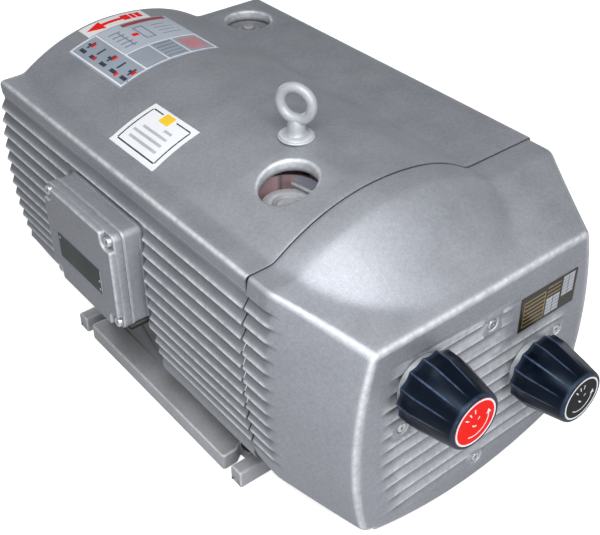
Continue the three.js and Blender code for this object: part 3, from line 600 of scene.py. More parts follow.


# Each finish: its colour, as a property's name or a display colour, its worn colour, which also paints
# highlights, and what differs from the defaults of coating.
FINISHES = {
    "cast_paint_finish": ("paint", (226, 229, 232), dict(
        rough=0.58, metal=0.66, grain=0.13, grain_scale=620, mottle=0.05, bump=0.35, wear=0.92, dust=0.1)),
    # The box's paint is the casting paint darkened to 0.9: a darker copy, painted shade on the box.
    "box_shaded_paint_finish": ("paint", (226, 229, 232), dict(
        shade=0.9, rough=0.55, metal=0.6, grain=0.13, grain_scale=620, mottle=0.05, bump=0.35, wear=0.8,
        dust=0.1)),
    "base_paint_finish": ("base_paint", (226, 229, 232), dict(
        rough=0.5, metal=0.3, grain=0.12, grain_scale=520, mottle=0.09, bump=0.3, wear=0.7, dust=0.25)),
    "eye_paint_finish": ((158, 161, 167), (214, 216, 219), dict(
        rough=0.42, metal=0.2, grain=0.06, grain_scale=620, mottle=0.04, bump=0.15, wear=0.6)),
    "raw_casting_finish": ((200, 178, 176), (214, 206, 204), dict(
        rough=0.6, metal=0.1, grain=0.22, grain_scale=420, mottle=0.18, bump=0.6, wear=0.5, dust=0.3)),
    "boss_paint_finish": ((146, 148, 153), (206, 208, 212), dict(
        rough=0.5, metal=0.1, grain=0.1, grain_scale=420, mottle=0.12, bump=0.3, wear=0.6, dust=0.1)),
    "rust_casting_finish": ((150, 124, 128), (134, 139, 150), dict(
        rough=0.6, grain=0.14, grain_scale=420, mottle=0.28, bump=0.5, wear=1.4)),
    "zinc_finish": ((196, 198, 200), (225, 225, 225), dict(
        rough=0.3, metal=0.9, grain=0.06, grain_scale=900, mottle=0.08, bump=0.08, wear=0.4)),
    "turned_steel_finish": ((176, 178, 180), (215, 215, 215), dict(
        rough=0.32, metal=0.95, grain=0.05, grain_scale=1200, mottle=0.08, bump=0.06, wear=0.4)),
    "rotor_steel_finish": ((104, 106, 110), (170, 170, 172), dict(
        rough=0.4, metal=0.85, grain=0.06, grain_scale=900, mottle=0.1, bump=0.08, wear=0.4)),
    "rubber_finish": ((30, 30, 32), (64, 64, 66), dict(
        rough=0.7, grain=0.12, grain_scale=500, mottle=0.2, bump=0.25, wear=0.3, dust=0.25, spec=0.35)),
    # The knob's worn colour also paints the highlight lines along its ridges.
    "knob_finish": ("plastic", (84, 100, 128), dict(
        rough=0.31, grain=0.1, grain_scale=1200, mottle=0.15, bump=0.1, wear=0.7, spec=0.2,
        tint=(0.55, 0.78, 1.0))),
    "red_print_finish": ("red", (240, 110, 95), dict(
        rough=0.6, grain=0.03, mottle=0.05, bump=0.03, wear=0.2, spec=0.12)),
    "black_print_finish": ((8, 10, 16), (60, 62, 70), dict(
        rough=0.5, grain=0.05, mottle=0.08, bump=0.03, wear=0.2, spec=0.15)),
    "white_print_finish": ("white", (240, 240, 240), dict(
        rough=0.45, grain=0.02, mottle=0.03, bump=0.02, wear=0.1, dust=0.08)),
    "film_finish": ((146, 156, 170), (205, 209, 214), dict(
        rough=0.35, grain=0.05, mottle=0.08, bump=0.03, wear=0.2, dust=0.1, coat=0.1)),
    "pale_film_finish": ((178, 187, 200), (215, 219, 223), dict(
        rough=0.35, grain=0.05, mottle=0.08, bump=0.03, wear=0.2, dust=0.1, coat=0.1)),
    "pale_ink_finish": ((172, 176, 184), (200, 200, 204), dict(
        rough=0.5, grain=0.08, mottle=0.12, bump=0.02, wear=0.1)),
    "film_ink_finish": ((118, 128, 144), (150, 156, 166), dict(
        rough=0.5, grain=0.08, mottle=0.2, bump=0.02, wear=0.1)),
    "dark_red_finish": ((150, 52, 62), (190, 120, 124), dict(
        rough=0.5, grain=0.08, mottle=0.2, bump=0.02, wear=0.1)),
    "pale_red_finish": ((190, 130, 138), (210, 170, 174), dict(
        rough=0.5, grain=0.08, mottle=0.2, bump=0.02, wear=0.1)),
    "ink_finish": ((44, 48, 62), (120, 120, 125), dict(
        rough=0.5, grain=0.08, mottle=0.12, bump=0.02, wear=0.1)),
    "amber_print_finish": ("amber", (245, 220, 120), dict(
        rough=0.4, grain=0.03, mottle=0.05, bump=0.02, wear=0.1)),
    "plate_finish": ("plate", (150, 140, 110), dict(
        rough=0.28, metal=0.3, grain=0.08, mottle=0.25, bump=0.05, wear=0.5)),
    "lid_plate_finish": ((20, 33, 33), (170, 176, 172), dict(
        rough=0.45, metal=0.1, grain=0.1, mottle=0.2, bump=0.08, wear=0.5)),
    "brass_print_finish": ((176, 152, 96), (220, 205, 160), dict(
        rough=0.35, metal=0.6, grain=0.08, mottle=0.15, bump=0.03, wear=0.3)),
    "carbon_finish": ((50, 50, 52), (90, 90, 92), dict(
        rough=0.5, grain=0.15, grain_scale=600, mottle=0.1, bump=0.15, wear=0.3)),
    "pale_plastic_finish": ((214, 211, 200), (232, 230, 222), dict(
        rough=0.5, grain=0.03, mottle=0.06, bump=0.06, wear=0.2, dust=0.15)),
    "filter_paper_finish": ((214, 200, 160), (230, 220, 190), dict(
        rough=0.85, grain=0.12, grain_scale=400, mottle=0.1, bump=0.3, wear=0.1)),
}


def finish(name):
    """The named finish, built once."""
    if name not in bpy.data.materials:
        colour, worn, looks = FINISHES[name]
        if isinstance(colour, str):
            colour = tuple(getattr(bpy.context.scene.pump_colours, colour))
        else:
            colour = srgb(*colour)
        coating(name, colour, srgb(*worn), **looks)
    return bpy.data.materials[name]


# ---- pieces ----------------------------------------------------------------------------------------
class PUMP_OT_hood(bpy.types.Operator):
    """The ribbed rear hood: a section swept to the rear, with two round access holes"""

    bl_idname = "pump.hood"
    bl_label = "Rear hood"

    def section(self, rib_depth):
        """One side from the top corner down: corner arc, plain band, ribs sunk from their crests, arc
        under."""
        z_ribs, sink, worn = rib_levels()
        turn = np.linspace(90, 0, 7) * np.pi / 180
        corner_x = HALF_WIDTH - CORNER_RADIUS + CORNER_RADIUS * np.cos(turn)
        corner_z = CORNER_RADIUS * np.sin(turn) - CORNER_RADIUS
        band_z = np.array([-15.0, -19.4, -20.2, -23.4])
        band_x = HALF_WIDTH - np.array([0.4, 1.0, 2.0, 2.2])
        down = np.linspace(0, -90, 9) * np.pi / 180
        centre = side_reach(SKIRT_Z) - UNDER_RADIUS
        under_x, under_z = centre + UNDER_RADIUS * np.cos(down), SKIRT_Z + UNDER_RADIUS * np.sin(down)
        x = np.concatenate([corner_x, band_x, side_reach(z_ribs) - rib_depth * sink, under_x])
        z = np.concatenate([corner_z, band_z, z_ribs, under_z])
        # The band's small step gets painted shade (-0.35); the ribs get their wear, painted highlights and
        # painted shade.
        wear = np.concatenate([[0.1, 0.5, 0.85, 0.85, 0.4, 0.1, 0], [0, 0.3, -0.35, 0], worn, np.zeros(9)])
        nx = np.concatenate([np.cos(turn), np.ones(4 + len(z_ribs)), np.cos(down)])
        nz = np.concatenate([np.sin(turn), np.zeros(4 + len(z_ribs)), np.sin(down)])
        return x, z, nx, nz, wear

    def around(self, rib_depth):
        """The whole section from the right side's foot over the top to the left side's, with the outward
        direction and the wear of each point, and a mask of the left side."""
        x_side, z_side, nx_side, nz_side, wear_side = self.section(rib_depth)
        end = HALF_WIDTH - CORNER_RADIUS
        x_top = stations([MIDDLE + end, 185, 105, 100, 96.5, 93, 86, -55, -145, -158, -163, -166.5,
                          -170, -174, MIDDLE - end], 5)[1:-1]
        level = np.zeros_like(x_top)

        def over(right, top, left):
            return np.concatenate([right[::-1], top, left])

        x = over(MIDDLE + x_side, x_top, MIDDLE - x_side)
        return (x, over(z_side, level, z_side), over(nx_side, level, -nx_side),
                over(nz_side, level + 1, nz_side), over(wear_side, level, wear_side),
                np.arange(len(x)) > len(x) - len(x_side))

    def rows(self):
        """Distances from the lip at the seam to the rear edge, and how far each row is drawn in."""
        lip = np.array([[130.0, 1.5], [130.2, 0.8], [130.6, 0.34], [131.2, 0.08], [133.2, 0.0]])
        tail = np.array([[646.0, 0.0], [647.2, 0.5], [647.8, 1.3], [648.0, 2.4]])
        anchors = [133.2, 149, 241, 290, 310.6, PAD[0], 331, 457, PAD[1], 477.4, 550, 635, 646.0]
        middle = stations(anchors, 7.5)[1:-1]
        return (np.concatenate([lip[:, 0], middle, tail[:, 0]]),
                np.concatenate([lip[:, 1], np.zeros_like(middle), tail[:, 1]]))

    def sweep(self, x, z, nx, nz, y, inset):
        """The section at every row: the ridge lifts its top, the rows at both ends are drawn in against the
        outward direction, and the arc under each side flattens towards the rear."""
        grid_x, grid_y = np.meshgrid(x, y)
        grid_z = z + np.where(nz > 0, ridge(grid_x, grid_y) * np.clip(nz * 1.2, 0, 1), 0.0)
        grid_x -= nx * inset[:, None] * np.where(np.abs(nx) > 0.3, 0.4, 1.0)
        grid_z = grid_z - nz * inset[:, None]
        curl = lerp(1.0, 0.1, ramp(y, 585, 640))[:, None]
        under, side_x = z < SKIRT_Z, np.sign(x) * side_reach(SKIRT_Z) + MIDDLE
        return (np.where(under, lerp(side_x, grid_x, curl), grid_x), grid_y,
                np.where(under, lerp(SKIRT_Z, grid_z, curl), grid_z))

    def beside_box(self, x, y, z, left):
        """Round the terminal box: how far each point moves along the hood to round the cutaway's corners, a
        mask of the flat pad behind the box, and a mask of the faces kept, which leaves out the cutaway
        under the pad."""
        below = left & (z < CUT_LEVEL + 0.01)
        rise = np.clip(z - CUT_LEVEL + CUT_RADIUS, 0, CUT_RADIUS)
        arc = CUT_RADIUS - np.sqrt(CUT_RADIUS ** 2 - rise ** 2)
        draw_in = np.where(below, arc, CUT_RADIUS * np.clip((CUT_LEVEL + 14 - z) / 14, 0, 1)) * left
        centre = sum(PAD) / 2
        near = (np.interp(y, [290, PAD[0], centre], [0, 1, 0])
                - np.interp(y, [centre, PAD[1], 500], [0, 1, 0]))
        pad = left & (z < -36) & (z > CUT_LEVEL - 0.01) & ((y >= PAD[0]) & (y <= PAD[1]))[:, None]
        keep = np.ones((len(y) - 1, len(x) - 1), bool)
        open_row = (y[:-1] >= PAD[0] - 0.1) & (y[1:] <= PAD[1] + 0.1)
        keep[np.ix_(open_row, below[1:] & below[:-1])] = False
        return near[:, None] * draw_in, pad, keep

    def execute(self, context):
        x, z, nx, nz, wear, left = self.around(sizes().rib_depth / MILLI)
        y, inset = self.rows()
        grid_x, grid_y, grid_z = self.sweep(x, z, nx, nz, y, inset)
        shift, pad, keep = self.beside_box(x, y, z, left)
        grid_y = grid_y + shift
        grid_x = np.where(pad, MIDDLE - HALF_WIDTH + 0.2, grid_x)
        worn = np.where(((inset > 0.3) & (y < 140))[:, None], SEAM_DARKENING, np.where(pad, 0, wear))
        surface = Surface()
        spots = []
        for centre, x_span, y_span in ACCESS_HOLES:
            i0, i1 = (np.argmin(abs(y - edge)) for edge in y_span)
            j0, j1 = sorted(np.argmin(abs(x - edge)) for edge in x_span)
            keep[i0:i1, j0:j1] = False
            spots.append((centre, block_loop(grid_x, grid_y, i0, i1, j0, j1)))
        surface.grid(np.stack([grid_x, grid_y, grid_z + SHOULDER], axis=-1), worn, keep)
        for centre, loop in spots:
            opening(surface, loop, centre, ACCESS_RADIUS, lambda a, b, down: on_top(a, b, -down),
                    rim=3.5, depth=sizes().rim_depth / MILLI)
        finish_piece("hood_shell", surface, "cast_paint_finish", ["rear_hood"], wall=2.6)
        return {"FINISHED"}


class PUMP_OT_cover(bpy.types.Operator):
    """The front cover: rings drawn in to the panel, closed by the louvred panel face"""

    bl_idname = "pump.cover"
    bl_label = "Front cover"

    HALF_ARC = 4
    TOP_RUN = 84

    def relief(self, x, z):
        """Depth of the panel's face: for each louvre a step down at its level and a slope back out below
        it, less a share that grows beyond its pointed ends, plus one slanting groove; flat round the
        screws."""
        depth = sizes().louvre_depth / MILLI
        below, beyond = self.louvre_place(x, z)
        shape = np.interp(below, [-0.8, -0.3, 0.1, 0.5, 1.0, 3.0, 6.0, 10.0, 13.0, 14.5],
                          [0, 0.05, 0.55, 0.93, 1, 0.84, 0.58, 0.24, 0.04, 0])
        groove = np.maximum(0, shape - beyond).sum(axis=0) * depth
        line = -66 + (x + 126) * (-11 / 181)
        slant = np.exp(-((z - line) / 1.3) ** 2) * ramp(x, -128, -124) * (1 - ramp(x, 40, 60)) * 1.1
        return np.minimum(groove, depth) * self.clear(x, z) + slant * self.clear(x, z)

    def louvre_place(self, x, z):
        """For each louvre: the distance below its lip, and a share that grows from 0 to 1 towards its
        ends."""
        left, right = LOUVRE_LEFT[:, None, None], LOUVRE_RIGHT[:, None, None]
        beyond = np.clip(np.maximum(left + 20 - x[None], x[None] - right + 20) / 20, 0, 1.2)
        return LOUVRE_LEVELS[:, None, None] - z[None], beyond

    def clear(self, x, z):
        """0 round each screw and 1 elsewhere."""
        clear = np.ones_like(x)
        for sx, sz in PANEL_SCREWS:
            clear = clear * ramp(np.hypot(x - sx, z - sz), 10.5, 14.0)
        return clear

    def louvre_light_and_shade(self, x, z):
        """Painted highlights on the louvres' slats and lips, and painted shade under the lips."""
        below, beyond = self.louvre_place(x, z)
        fade = np.clip(1.25 - beyond, 0, 1)
        painted_highlight = np.interp(below, [-13.0, -10.0, -4.0, -1.8, -0.3, 0.1, 0.3],
                         [0, 0.35, 0.55, 1, 1, 0.6, 0]) * fade
        shade = np.interp(below, [0.1, 0.5, 4.0, 6.5], [0, 0.55, 0.45, 0]) * fade
        return (painted_highlight.max(axis=0) - shade.max(axis=0)) * self.clear(x, z)

    def corners(self, y):
        """Columns of the top's and the bottom's height and of the radii of the arcs at their ends."""
        back = np.clip(y / HOOD_FRONT, 0, 1)[:, None]
        return (PANEL_TOP * taper(y)[:, None], lerp(PANEL_CORNER, SKIRT_Z - 20, back),
                lerp(7.5, CORNER_RADIUS, back), lerp(13.0, 21.0, back))

    def side_heights(self, y, levels):
        """Heights down a side, from the top arc's end through the ribs' rows to the bottom arc's end."""
        top, low, top_radius, low_radius = self.corners(y)
        top_end, low_end = top - top_radius, low + low_radius
        between = np.linspace(0, 1, 5)[None, 1:-1]
        return np.concatenate([top_end, lerp(top_end, levels[0], between), np.tile(levels, (len(y), 1)),
                               lerp(levels[-1], low_end, between), low_end], axis=1)

    def side(self, y, levels):
        """The same heights, ever more evenly spread towards the panel ahead of the ribs."""
        rows = self.side_heights(y, levels)
        model = self.side_heights(np.clip(y, RIBS_FADED, None), levels)
        share = (model - model[:, :1]) / (model[:, -1:] - model[:, :1])
        even = np.linspace(0, 1, rows.shape[1])[None]
        share = lerp(share, even, np.clip(1 - y / RIBS_FADED, 0, 1)[:, None])
        return np.where(y[:, None] >= RIBS_FADED, rows, lerp(rows[:, :1], rows[:, -1:], share))

    def ring(self, y, inset, levels, sink_share):
        """One closed ring a row: top run, corner arc, side, corner arc, bottom run, and round the other
        side. In an arc the cosine of the angle carries a point up from the middle, and the sine out to the
        side."""
        y_row, inset = y[:, None], inset[:, None]
        top, low, top_radius, low_radius = self.corners(y)
        top, low = top - inset, low + inset
        top_radius, low_radius = top_radius - inset, low_radius - inset
        belly = lerp(PANEL_BELLY, 20.0, np.clip(y_row / HOOD_FRONT, 0, 1))

        def half(z):
            return cover_reach(y_row, z) - inset

        def over(x):
            return top + ridge(MIDDLE + x, y_row)

        def under(x):
            return low - belly * (1 - np.clip(x / (half(low) + inset), -1, 1) ** 2)

        def arc(middle, radius, angle, side):
            z = middle + radius * np.cos(angle)
            return side * (half(z) - radius * (1 - np.sin(angle))), z

        z_side = self.side(y, levels)
        sink = np.maximum(0, sink_share[None] - np.clip((98 - y_row) / 13, 0, 1.2))
        x_side = half(z_side) - sink * sizes().rib_depth / MILLI
        upper = np.linspace(0, np.pi / 2, 2 * self.HALF_ARC + 1)[None]
        lower = upper + np.pi / 2
        share = np.linspace(-1, 1, self.TOP_RUN - 2 * self.HALF_ARC + 1)[None]
        top_edge, low_edge = half(top) - top_radius, half(low) - low_radius
        top_x, low_x = share * top_edge, -share * low_edge
        runs = [(top_x, over(top_x)), arc(over(top_edge) - top_radius, top_radius, upper, 1),
                (x_side, z_side), arc(low + low_radius, low_radius, lower, 1),
                (low_x, under(low_x)), arc(low + low_radius, low_radius, lower[:, ::-1], -1),
                (-x_side[:, ::-1], z_side[:, ::-1]),
                arc(over(-top_edge) - top_radius, top_radius, upper[:, ::-1], -1)]
        x, z = (np.concatenate([run[i][:, :-1] for run in runs], axis=1) for i in (0, 1))
        return MIDDLE + x, z

    def wall(self, surface):
        """The rings from the panel's rounded edge to the seam. Gives the first ring and its points down a
        side."""
        levels, sink_share, rib_wear_and_shade = rib_levels()
        plain = np.zeros(4)
        sink_share, rib_wear_and_shade = (np.concatenate([plain, rows, plain]) for rows in (sink_share, rib_wear_and_shade))
        turn = np.linspace(0, np.pi / 2, 6)
        lines = stations([PANEL_NOSE, 60, RIBS_FADED, 108, 118, 128.2], 4.0)[1:-1]
        y = np.concatenate([PANEL_NOSE * (1 - np.cos(turn)), lines, [128.2, 129.2, 129.6]])
        inset = np.concatenate([PANEL_NOSE * (1 - np.sin(turn)), np.zeros_like(lines), [0.0, 0.35, 1.4]])
        x, z = self.ring(y, inset + sizes().seam_step / MILLI * ramp(y, 20, 122), levels, sink_share)
        wear = np.repeat(0.85 * np.exp(-((y - 1.6) / 2.0) ** 2)[:, None], x.shape[1], axis=1)
        side_points = len(sink_share) - 1
        arc_points = 2 * self.HALF_ARC
        first = self.TOP_RUN
        other = first + side_points + self.TOP_RUN + arc_points
        for start, values in ((first, rib_wear_and_shade[:-1]), (other, rib_wear_and_shade[:0:-1])):
            here = slice(start, start + side_points)
            wear[:, here] = lerp(wear[:, here], values[None], ramp(y, 90, 98)[:, None])
        corner = 0.3 * np.array([0.0, 0.35, 0.7, 0.9, 1.0, 0.9, 0.7, 0.35])
        for here in (slice(first - arc_points, first), slice(-arc_points, None)):
            wear[:, here] = np.maximum(wear[:, here], corner)
        wear = np.where((y > 129.4)[:, None], SEAM_DARKENING, wear)
        surface.grid(np.stack([x, np.repeat(y[:, None], x.shape[1], axis=1), z + SHOULDER], axis=-1), wear,
                     round_columns=True)
        return x[0], z[0], side_points

    def face(self, surface, outer_x, outer_z, side_points):
        """The panel's face: a frame of straight blends from the first ring to an inner grid whose rows
        follow the louvres, with a square left out round each screw for its recess."""
        n_side, n_top = side_points + 2 * self.HALF_ARC, self.TOP_RUN
        u = np.linspace(-1, 1, n_top + 1)
        x_line = 139.0 * (0.86 * u + 0.14 * u ** 3)
        steps = np.array([1.6, 0.8, 0.3, -0.1, -0.5, -1.0, -3.0, -6.0, -8.6, -11.0, -13.2])
        rows = np.concatenate([stations([-56.0, -64, -78.6], 1.5)[:-1],
                               (LOUVRE_LEVELS[:, None] + steps).ravel()])
        rest = np.linspace(0, 1, n_side + 2 - len(rows))[1:, None]
        bottom = -272.0 - 31.0 * (1 - (x_line[None] / 146.0) ** 2)
        upper = np.maximum(rows[:, None], bottom + 0.06 * (n_side - np.arange(len(rows)))[:, None])
        z = np.concatenate([upper, lerp(upper[-1:], bottom, rest)])
        x = np.broadcast_to(x_line, z.shape)
        outer = np.roll(np.stack([outer_x, outer_z], axis=-1), self.HALF_ARC, axis=0)
        t = np.linspace(0, 1, 9)[:, None]
        frame_x, frame_z = np.moveaxis(
            lerp(outer, block_loop(x, z, 0, n_side, 0, n_top), t[..., None]), -1, 0)
        frame_y = self.relief(frame_x, frame_z) * ramp(t, 0.0, 0.4)
        surface.grid(np.stack([frame_x, frame_y, frame_z + SHOULDER], axis=-1),
                     np.array([[0.5, 0.1, 0, 0, 0, 0, 0, 0, 0]]).T, round_columns=True)
        keep = np.ones((n_side, n_top), bool)
        recesses = []
        for sx, sz in PANEL_SCREWS:
            rows = np.flatnonzero(abs(z[:, np.argmin(abs(x_line - sx))] - sz) < 14)
            columns = np.flatnonzero(abs(x_line - sx) < 15)
            block = rows[0], rows[-1], columns[0], columns[-1]
            keep[block[0]:block[1], block[2]:block[3]] = False
            recesses.append(((sx, sz), block_loop(x, z, *block)))
        surface.grid(np.stack([x, self.relief(x, z), z + SHOULDER], axis=-1), self.louvre_light_and_shade(x, z), keep)
        for centre, loop in recesses:
            opening(surface, loop, centre, 6.9,
                    lambda a, b, down: on_panel(a, b, -self.relief(a, b) - down),
                    rim=1.4, depth=3.5, floor=True)

    def execute(self, context):
        surface = Surface()
        self.face(surface, *self.wall(surface))
        finish_piece("cover_shell", surface, "cast_paint_finish", ["front_cover"], wall=2.4)
        return {"FINISHED"}


def socket_screw(surface, centre, radius, socket, front, back, axis="y"):
    """A turned screw head from its back face to its front: rounded rim, then a six-sided socket whose
    radius is the flat's distance over the cosine of the angle from that flat."""
    sense = 1 if back > front else -1
    deep = front + sense * 2.4
    profile = [[0, back], [radius, back], [radius, front + sense * 1.0],
               [radius - 0.3, front + sense * 0.4], [radius - 1.0, front], [socket + 1.0, front],
               [socket + 0.35, front], [socket, front + sense * 0.35], [socket, deep], [0, deep]]

    def radius_at(along, angle, r):
        flat = np.cos((angle % (np.pi / 3)) - np.pi / 6)
        inside = (r <= socket + 0.36) & (r > 0) & (abs(along - back) > 1e-6)
        return np.where(inside, r * math.cos(np.pi / 6) / flat, r)

    wear = [0, 0, 0.4, 1, 0.6, 0.2, 0.8, 0.2, 0, 0]
    surface.lathe(profile, centre, axis, 48, wear, radius_at)


class PUMP_OT_panel_screws(bpy.types.Operator):
    """Four socket screws in the panel's recesses"""

    bl_idname = "pump.panel_screws"
    bl_label = "Panel screws"

    def execute(self, context):
        for i, (x, z) in enumerate(PANEL_SCREWS):
            surface = Surface()
            socket_screw(surface, (x, 0, z + SHOULDER), 5.9, 2.1, 0.5, 3.7)
            finish_piece(f"panel_screw_{i + 1}", surface, "zinc_finish",
                         [f"front_screw_{i + 1}"])
        return {"FINISHED"}


class PUMP_OT_knobs(bpy.types.Operator):
    """The two regulating knobs: fluted skirts and long cones, with a printed disc in the end of each"""

    bl_idname = "pump.knobs"
    bl_label = "Regulating knobs"

    def knob(self, colour, x, z):
        s = sizes()
        profile = [[0, 0], [36, 0], [36.6, -0.1], [39.4, -0.4], [40.6, -1.4], [41, -3], [41, -7], [41, -11],
                   [41, -15], [40.9, -18.5], [40.3, -21.5], [39.4, -25], [38.4, -30], [37.1, -36],
                   [35.6, -43], [34.1, -50], [32.8, -56], [31.8, -61.8], [31.3, -63.6], [30.6, -64.9],
                   [29.6, -65.7], [28.7, -66], [28, -66], [27.5, -65.85], [27.3, -65.4], [27.3, -64.8],
                   [26.9, -64.8], [0, -64.8]]

        def fluted(along, angle, r):
            scallop = np.abs(np.sin(angle * s.flutes / 2))
            fade = np.clip((along + 48) / 42, 0, 1) ** 1.4
            return r - scallop * fade * s.flute_depth / MILLI * (r > 34)

        # The rims get edge wear; the thin lighter lines along the ridges are painted highlights, drawn with
        # the worn colour.
        rims = np.array([0, 0, 0, 0.1, 0.4, 0.3] + [0] * 12 + [0.3, 0.5, 0.3, 0.3, 0.4, 0.3] + [0] * 4)
        sides = s.flutes * 12
        ridge_highlight = (np.arange(sides) % 12 == 0)[None] * ramp(np.array(profile)[:, 1:], -60, -44)
        worn = np.maximum(rims[:, None], ridge_highlight)
        surface = Surface().lathe(profile, (x, KNOB_BACK, z), "y", sides, worn, fluted)
        spindle = [[0, KNOB_BACK - 3], [5, KNOB_BACK - 3], [5, KNOB_BACK + 2], [5, 59], [4.2, 60],
                   [3.8, 60], [0, 60]]
        surface.lathe(spindle, (x, 0, z), "y", 32)
        finish_piece(f"{colour}_knob_grip", surface, "knob_finish", [f"{colour}_knob"],
                     f"{colour}_knob_body", crease=50)

    def printed_disc(self, colour, x, z, tilt):
        """The end disc, and on it a white ring, an open arc with an arrow head, and tick marks: each a flat
        band between two radii over a span of angle."""
        tip = KNOB_TIP
        disc = Surface().lathe([[0, 1], [26.6, 1], [27, 0.8], [27, 0.35], [26.7, 0.2], [26.2, 0.2],
                                [0, 0.2]], (x, tip, z), "y", 72, [0, 0, 0, 0, 0.6, 0.2, 0])
        finish_piece(f"{colour}_disc_face", disc, f"{colour}_print_finish",
                     [f"{colour}_knob_disc"], f"{colour}_knob_body")
        marks = Surface()

        def band(r0, r1, start, end, steps):
            angle = np.radians(np.linspace(start, end, steps) + tilt)[None]
            radius = np.array([r0, r0 + 0.1, r1 - 0.1, r1])[:, None]
            lift = np.array([tip + 0.2, tip + 0.08, tip + 0.08, tip + 0.2])[:, None] + 0 * angle
            marks.grid(np.stack([x + radius * np.cos(angle), lift, z + radius * np.sin(angle)], axis=-1))

        band(24.7, 26.8, 0, 360, 97)
        band(16.4, 17.6, 215, 345, 30)
        for start in (72, 94, 116):
            band(12.5, 18.0, start, start + 5, 3)
        band(3.5, 5.0, 170, 260, 10)
        band(3.5, 7.0, 20, 34, 4)
        t = np.linspace(0, 1, 5)[:, None]
        corner = np.radians(tilt + 345)
        along = np.array([-math.sin(corner), math.cos(corner)])
        out = np.array([math.cos(corner), math.sin(corner)])
        width = np.linspace(-3.2, 3.2, 5)[None] * (1 - t)
        reach = t * 6.0
        centre = out * 17.0
        arrow_x = x + centre[0] + out[0] * width + along[0] * reach
        arrow_z = z + centre[1] + out[1] * width + along[1] * reach
        marks.grid(np.stack([arrow_x, np.full_like(arrow_x, tip + 0.08), arrow_z], axis=-1))
        finish_piece(f"{colour}_disc_marks", marks, "white_print_finish",
                     body=f"{colour}_knob_body", merge=FINE, up=OUT_OF_PANEL)

    def execute(self, context):
        for colour, (x, z), tilt in (("red", RED_KNOB, 25), ("black", BLACK_KNOB, 10)):
            self.knob(colour, x, z)
            self.printed_disc(colour, x, z, tilt)
            collar = [[18, -0.4], [29.2, -0.4], [30, -1.0], [30, -7.4], [29.5, -8.8], [28.2, -9.4],
                      [18.8, -9.4], [18, -8.8], [18, 81.3], [9, 81.3], [9, 90], [23.4, 90], [24, 89.4],
                      [24, -0.4]]
            surface = Surface().lathe(collar, (x, 0, z), "y", 72, [0, 0, 0.3, 0.3, 0.6, 0.3] + [0] * 8)
            finish_piece(f"{colour}_valve_collar", surface, "cast_paint_finish",
                         [f"{colour}_valve_body"])
        return {"FINISHED"}


class PUMP_OT_lifting_eye(bpy.types.Operator):
    """The forged lifting eye on its collar"""

    bl_idname = "pump.lifting_eye"
    bl_label = "Lifting eye"

    def execute(self, context):
        x, y = EYE
        base = SHOULDER + float(ridge(np.array(x), np.array(y))) + 0.3
        ring_z = base + 39.5
        yaw = math.radians(-65)
        u = np.linspace(0, 2 * np.pi, 73)[:-1][:, None]
        v = np.linspace(0, 2 * np.pi, 25)[:-1][None]
        low = np.exp(-((np.cos(u / 2 - np.pi / 4)) / 0.3) ** 2)
        thick = 5.75 + 0.7 * low
        reach = 18.5 + thick * np.cos(v) - 0.4 * low
        across, depth, up = reach * np.cos(u), thick * np.sin(v) + 0 * u, reach * np.sin(u)
        ring = np.stack([x + across * math.cos(yaw) - depth * math.sin(yaw),
                         y + across * math.sin(yaw) + depth * math.cos(yaw), ring_z + up], axis=-1)
        surface = Surface().grid(ring, 0.25, round_rows=True, round_columns=True)
        neck = [[0, -38], [4.6, -38], [5, -37.4], [5, 0], [19.4, 0], [20, 0.6], [20, 1.8], [19.6, 2.3],
                [18.6, 2.5], [18.4, 3.1], [18.2, 3.6], [17.4, 4.1], [13.2, 4.5], [11.4, 6], [10.3, 8.6],
                [9.9, 12], [9.6, 15.5], [8.8, 19], [7.2, 21.4], [0, 22]]
        wear = [0, 0, 0, 0, 0.4, 0.8, 0.8, 1, 0.2, 0.2, 0.8, 1, 0.2, 0, 0, 0.1, 0.2, 0, 0, 0]
        surface.lathe(neck, (x, y, base), "z", 56, wear)
        finish_piece("lifting_eye", surface, "eye_paint_finish",
                     ["lifting_eye_bolt"])
        return {"FINISHED"}


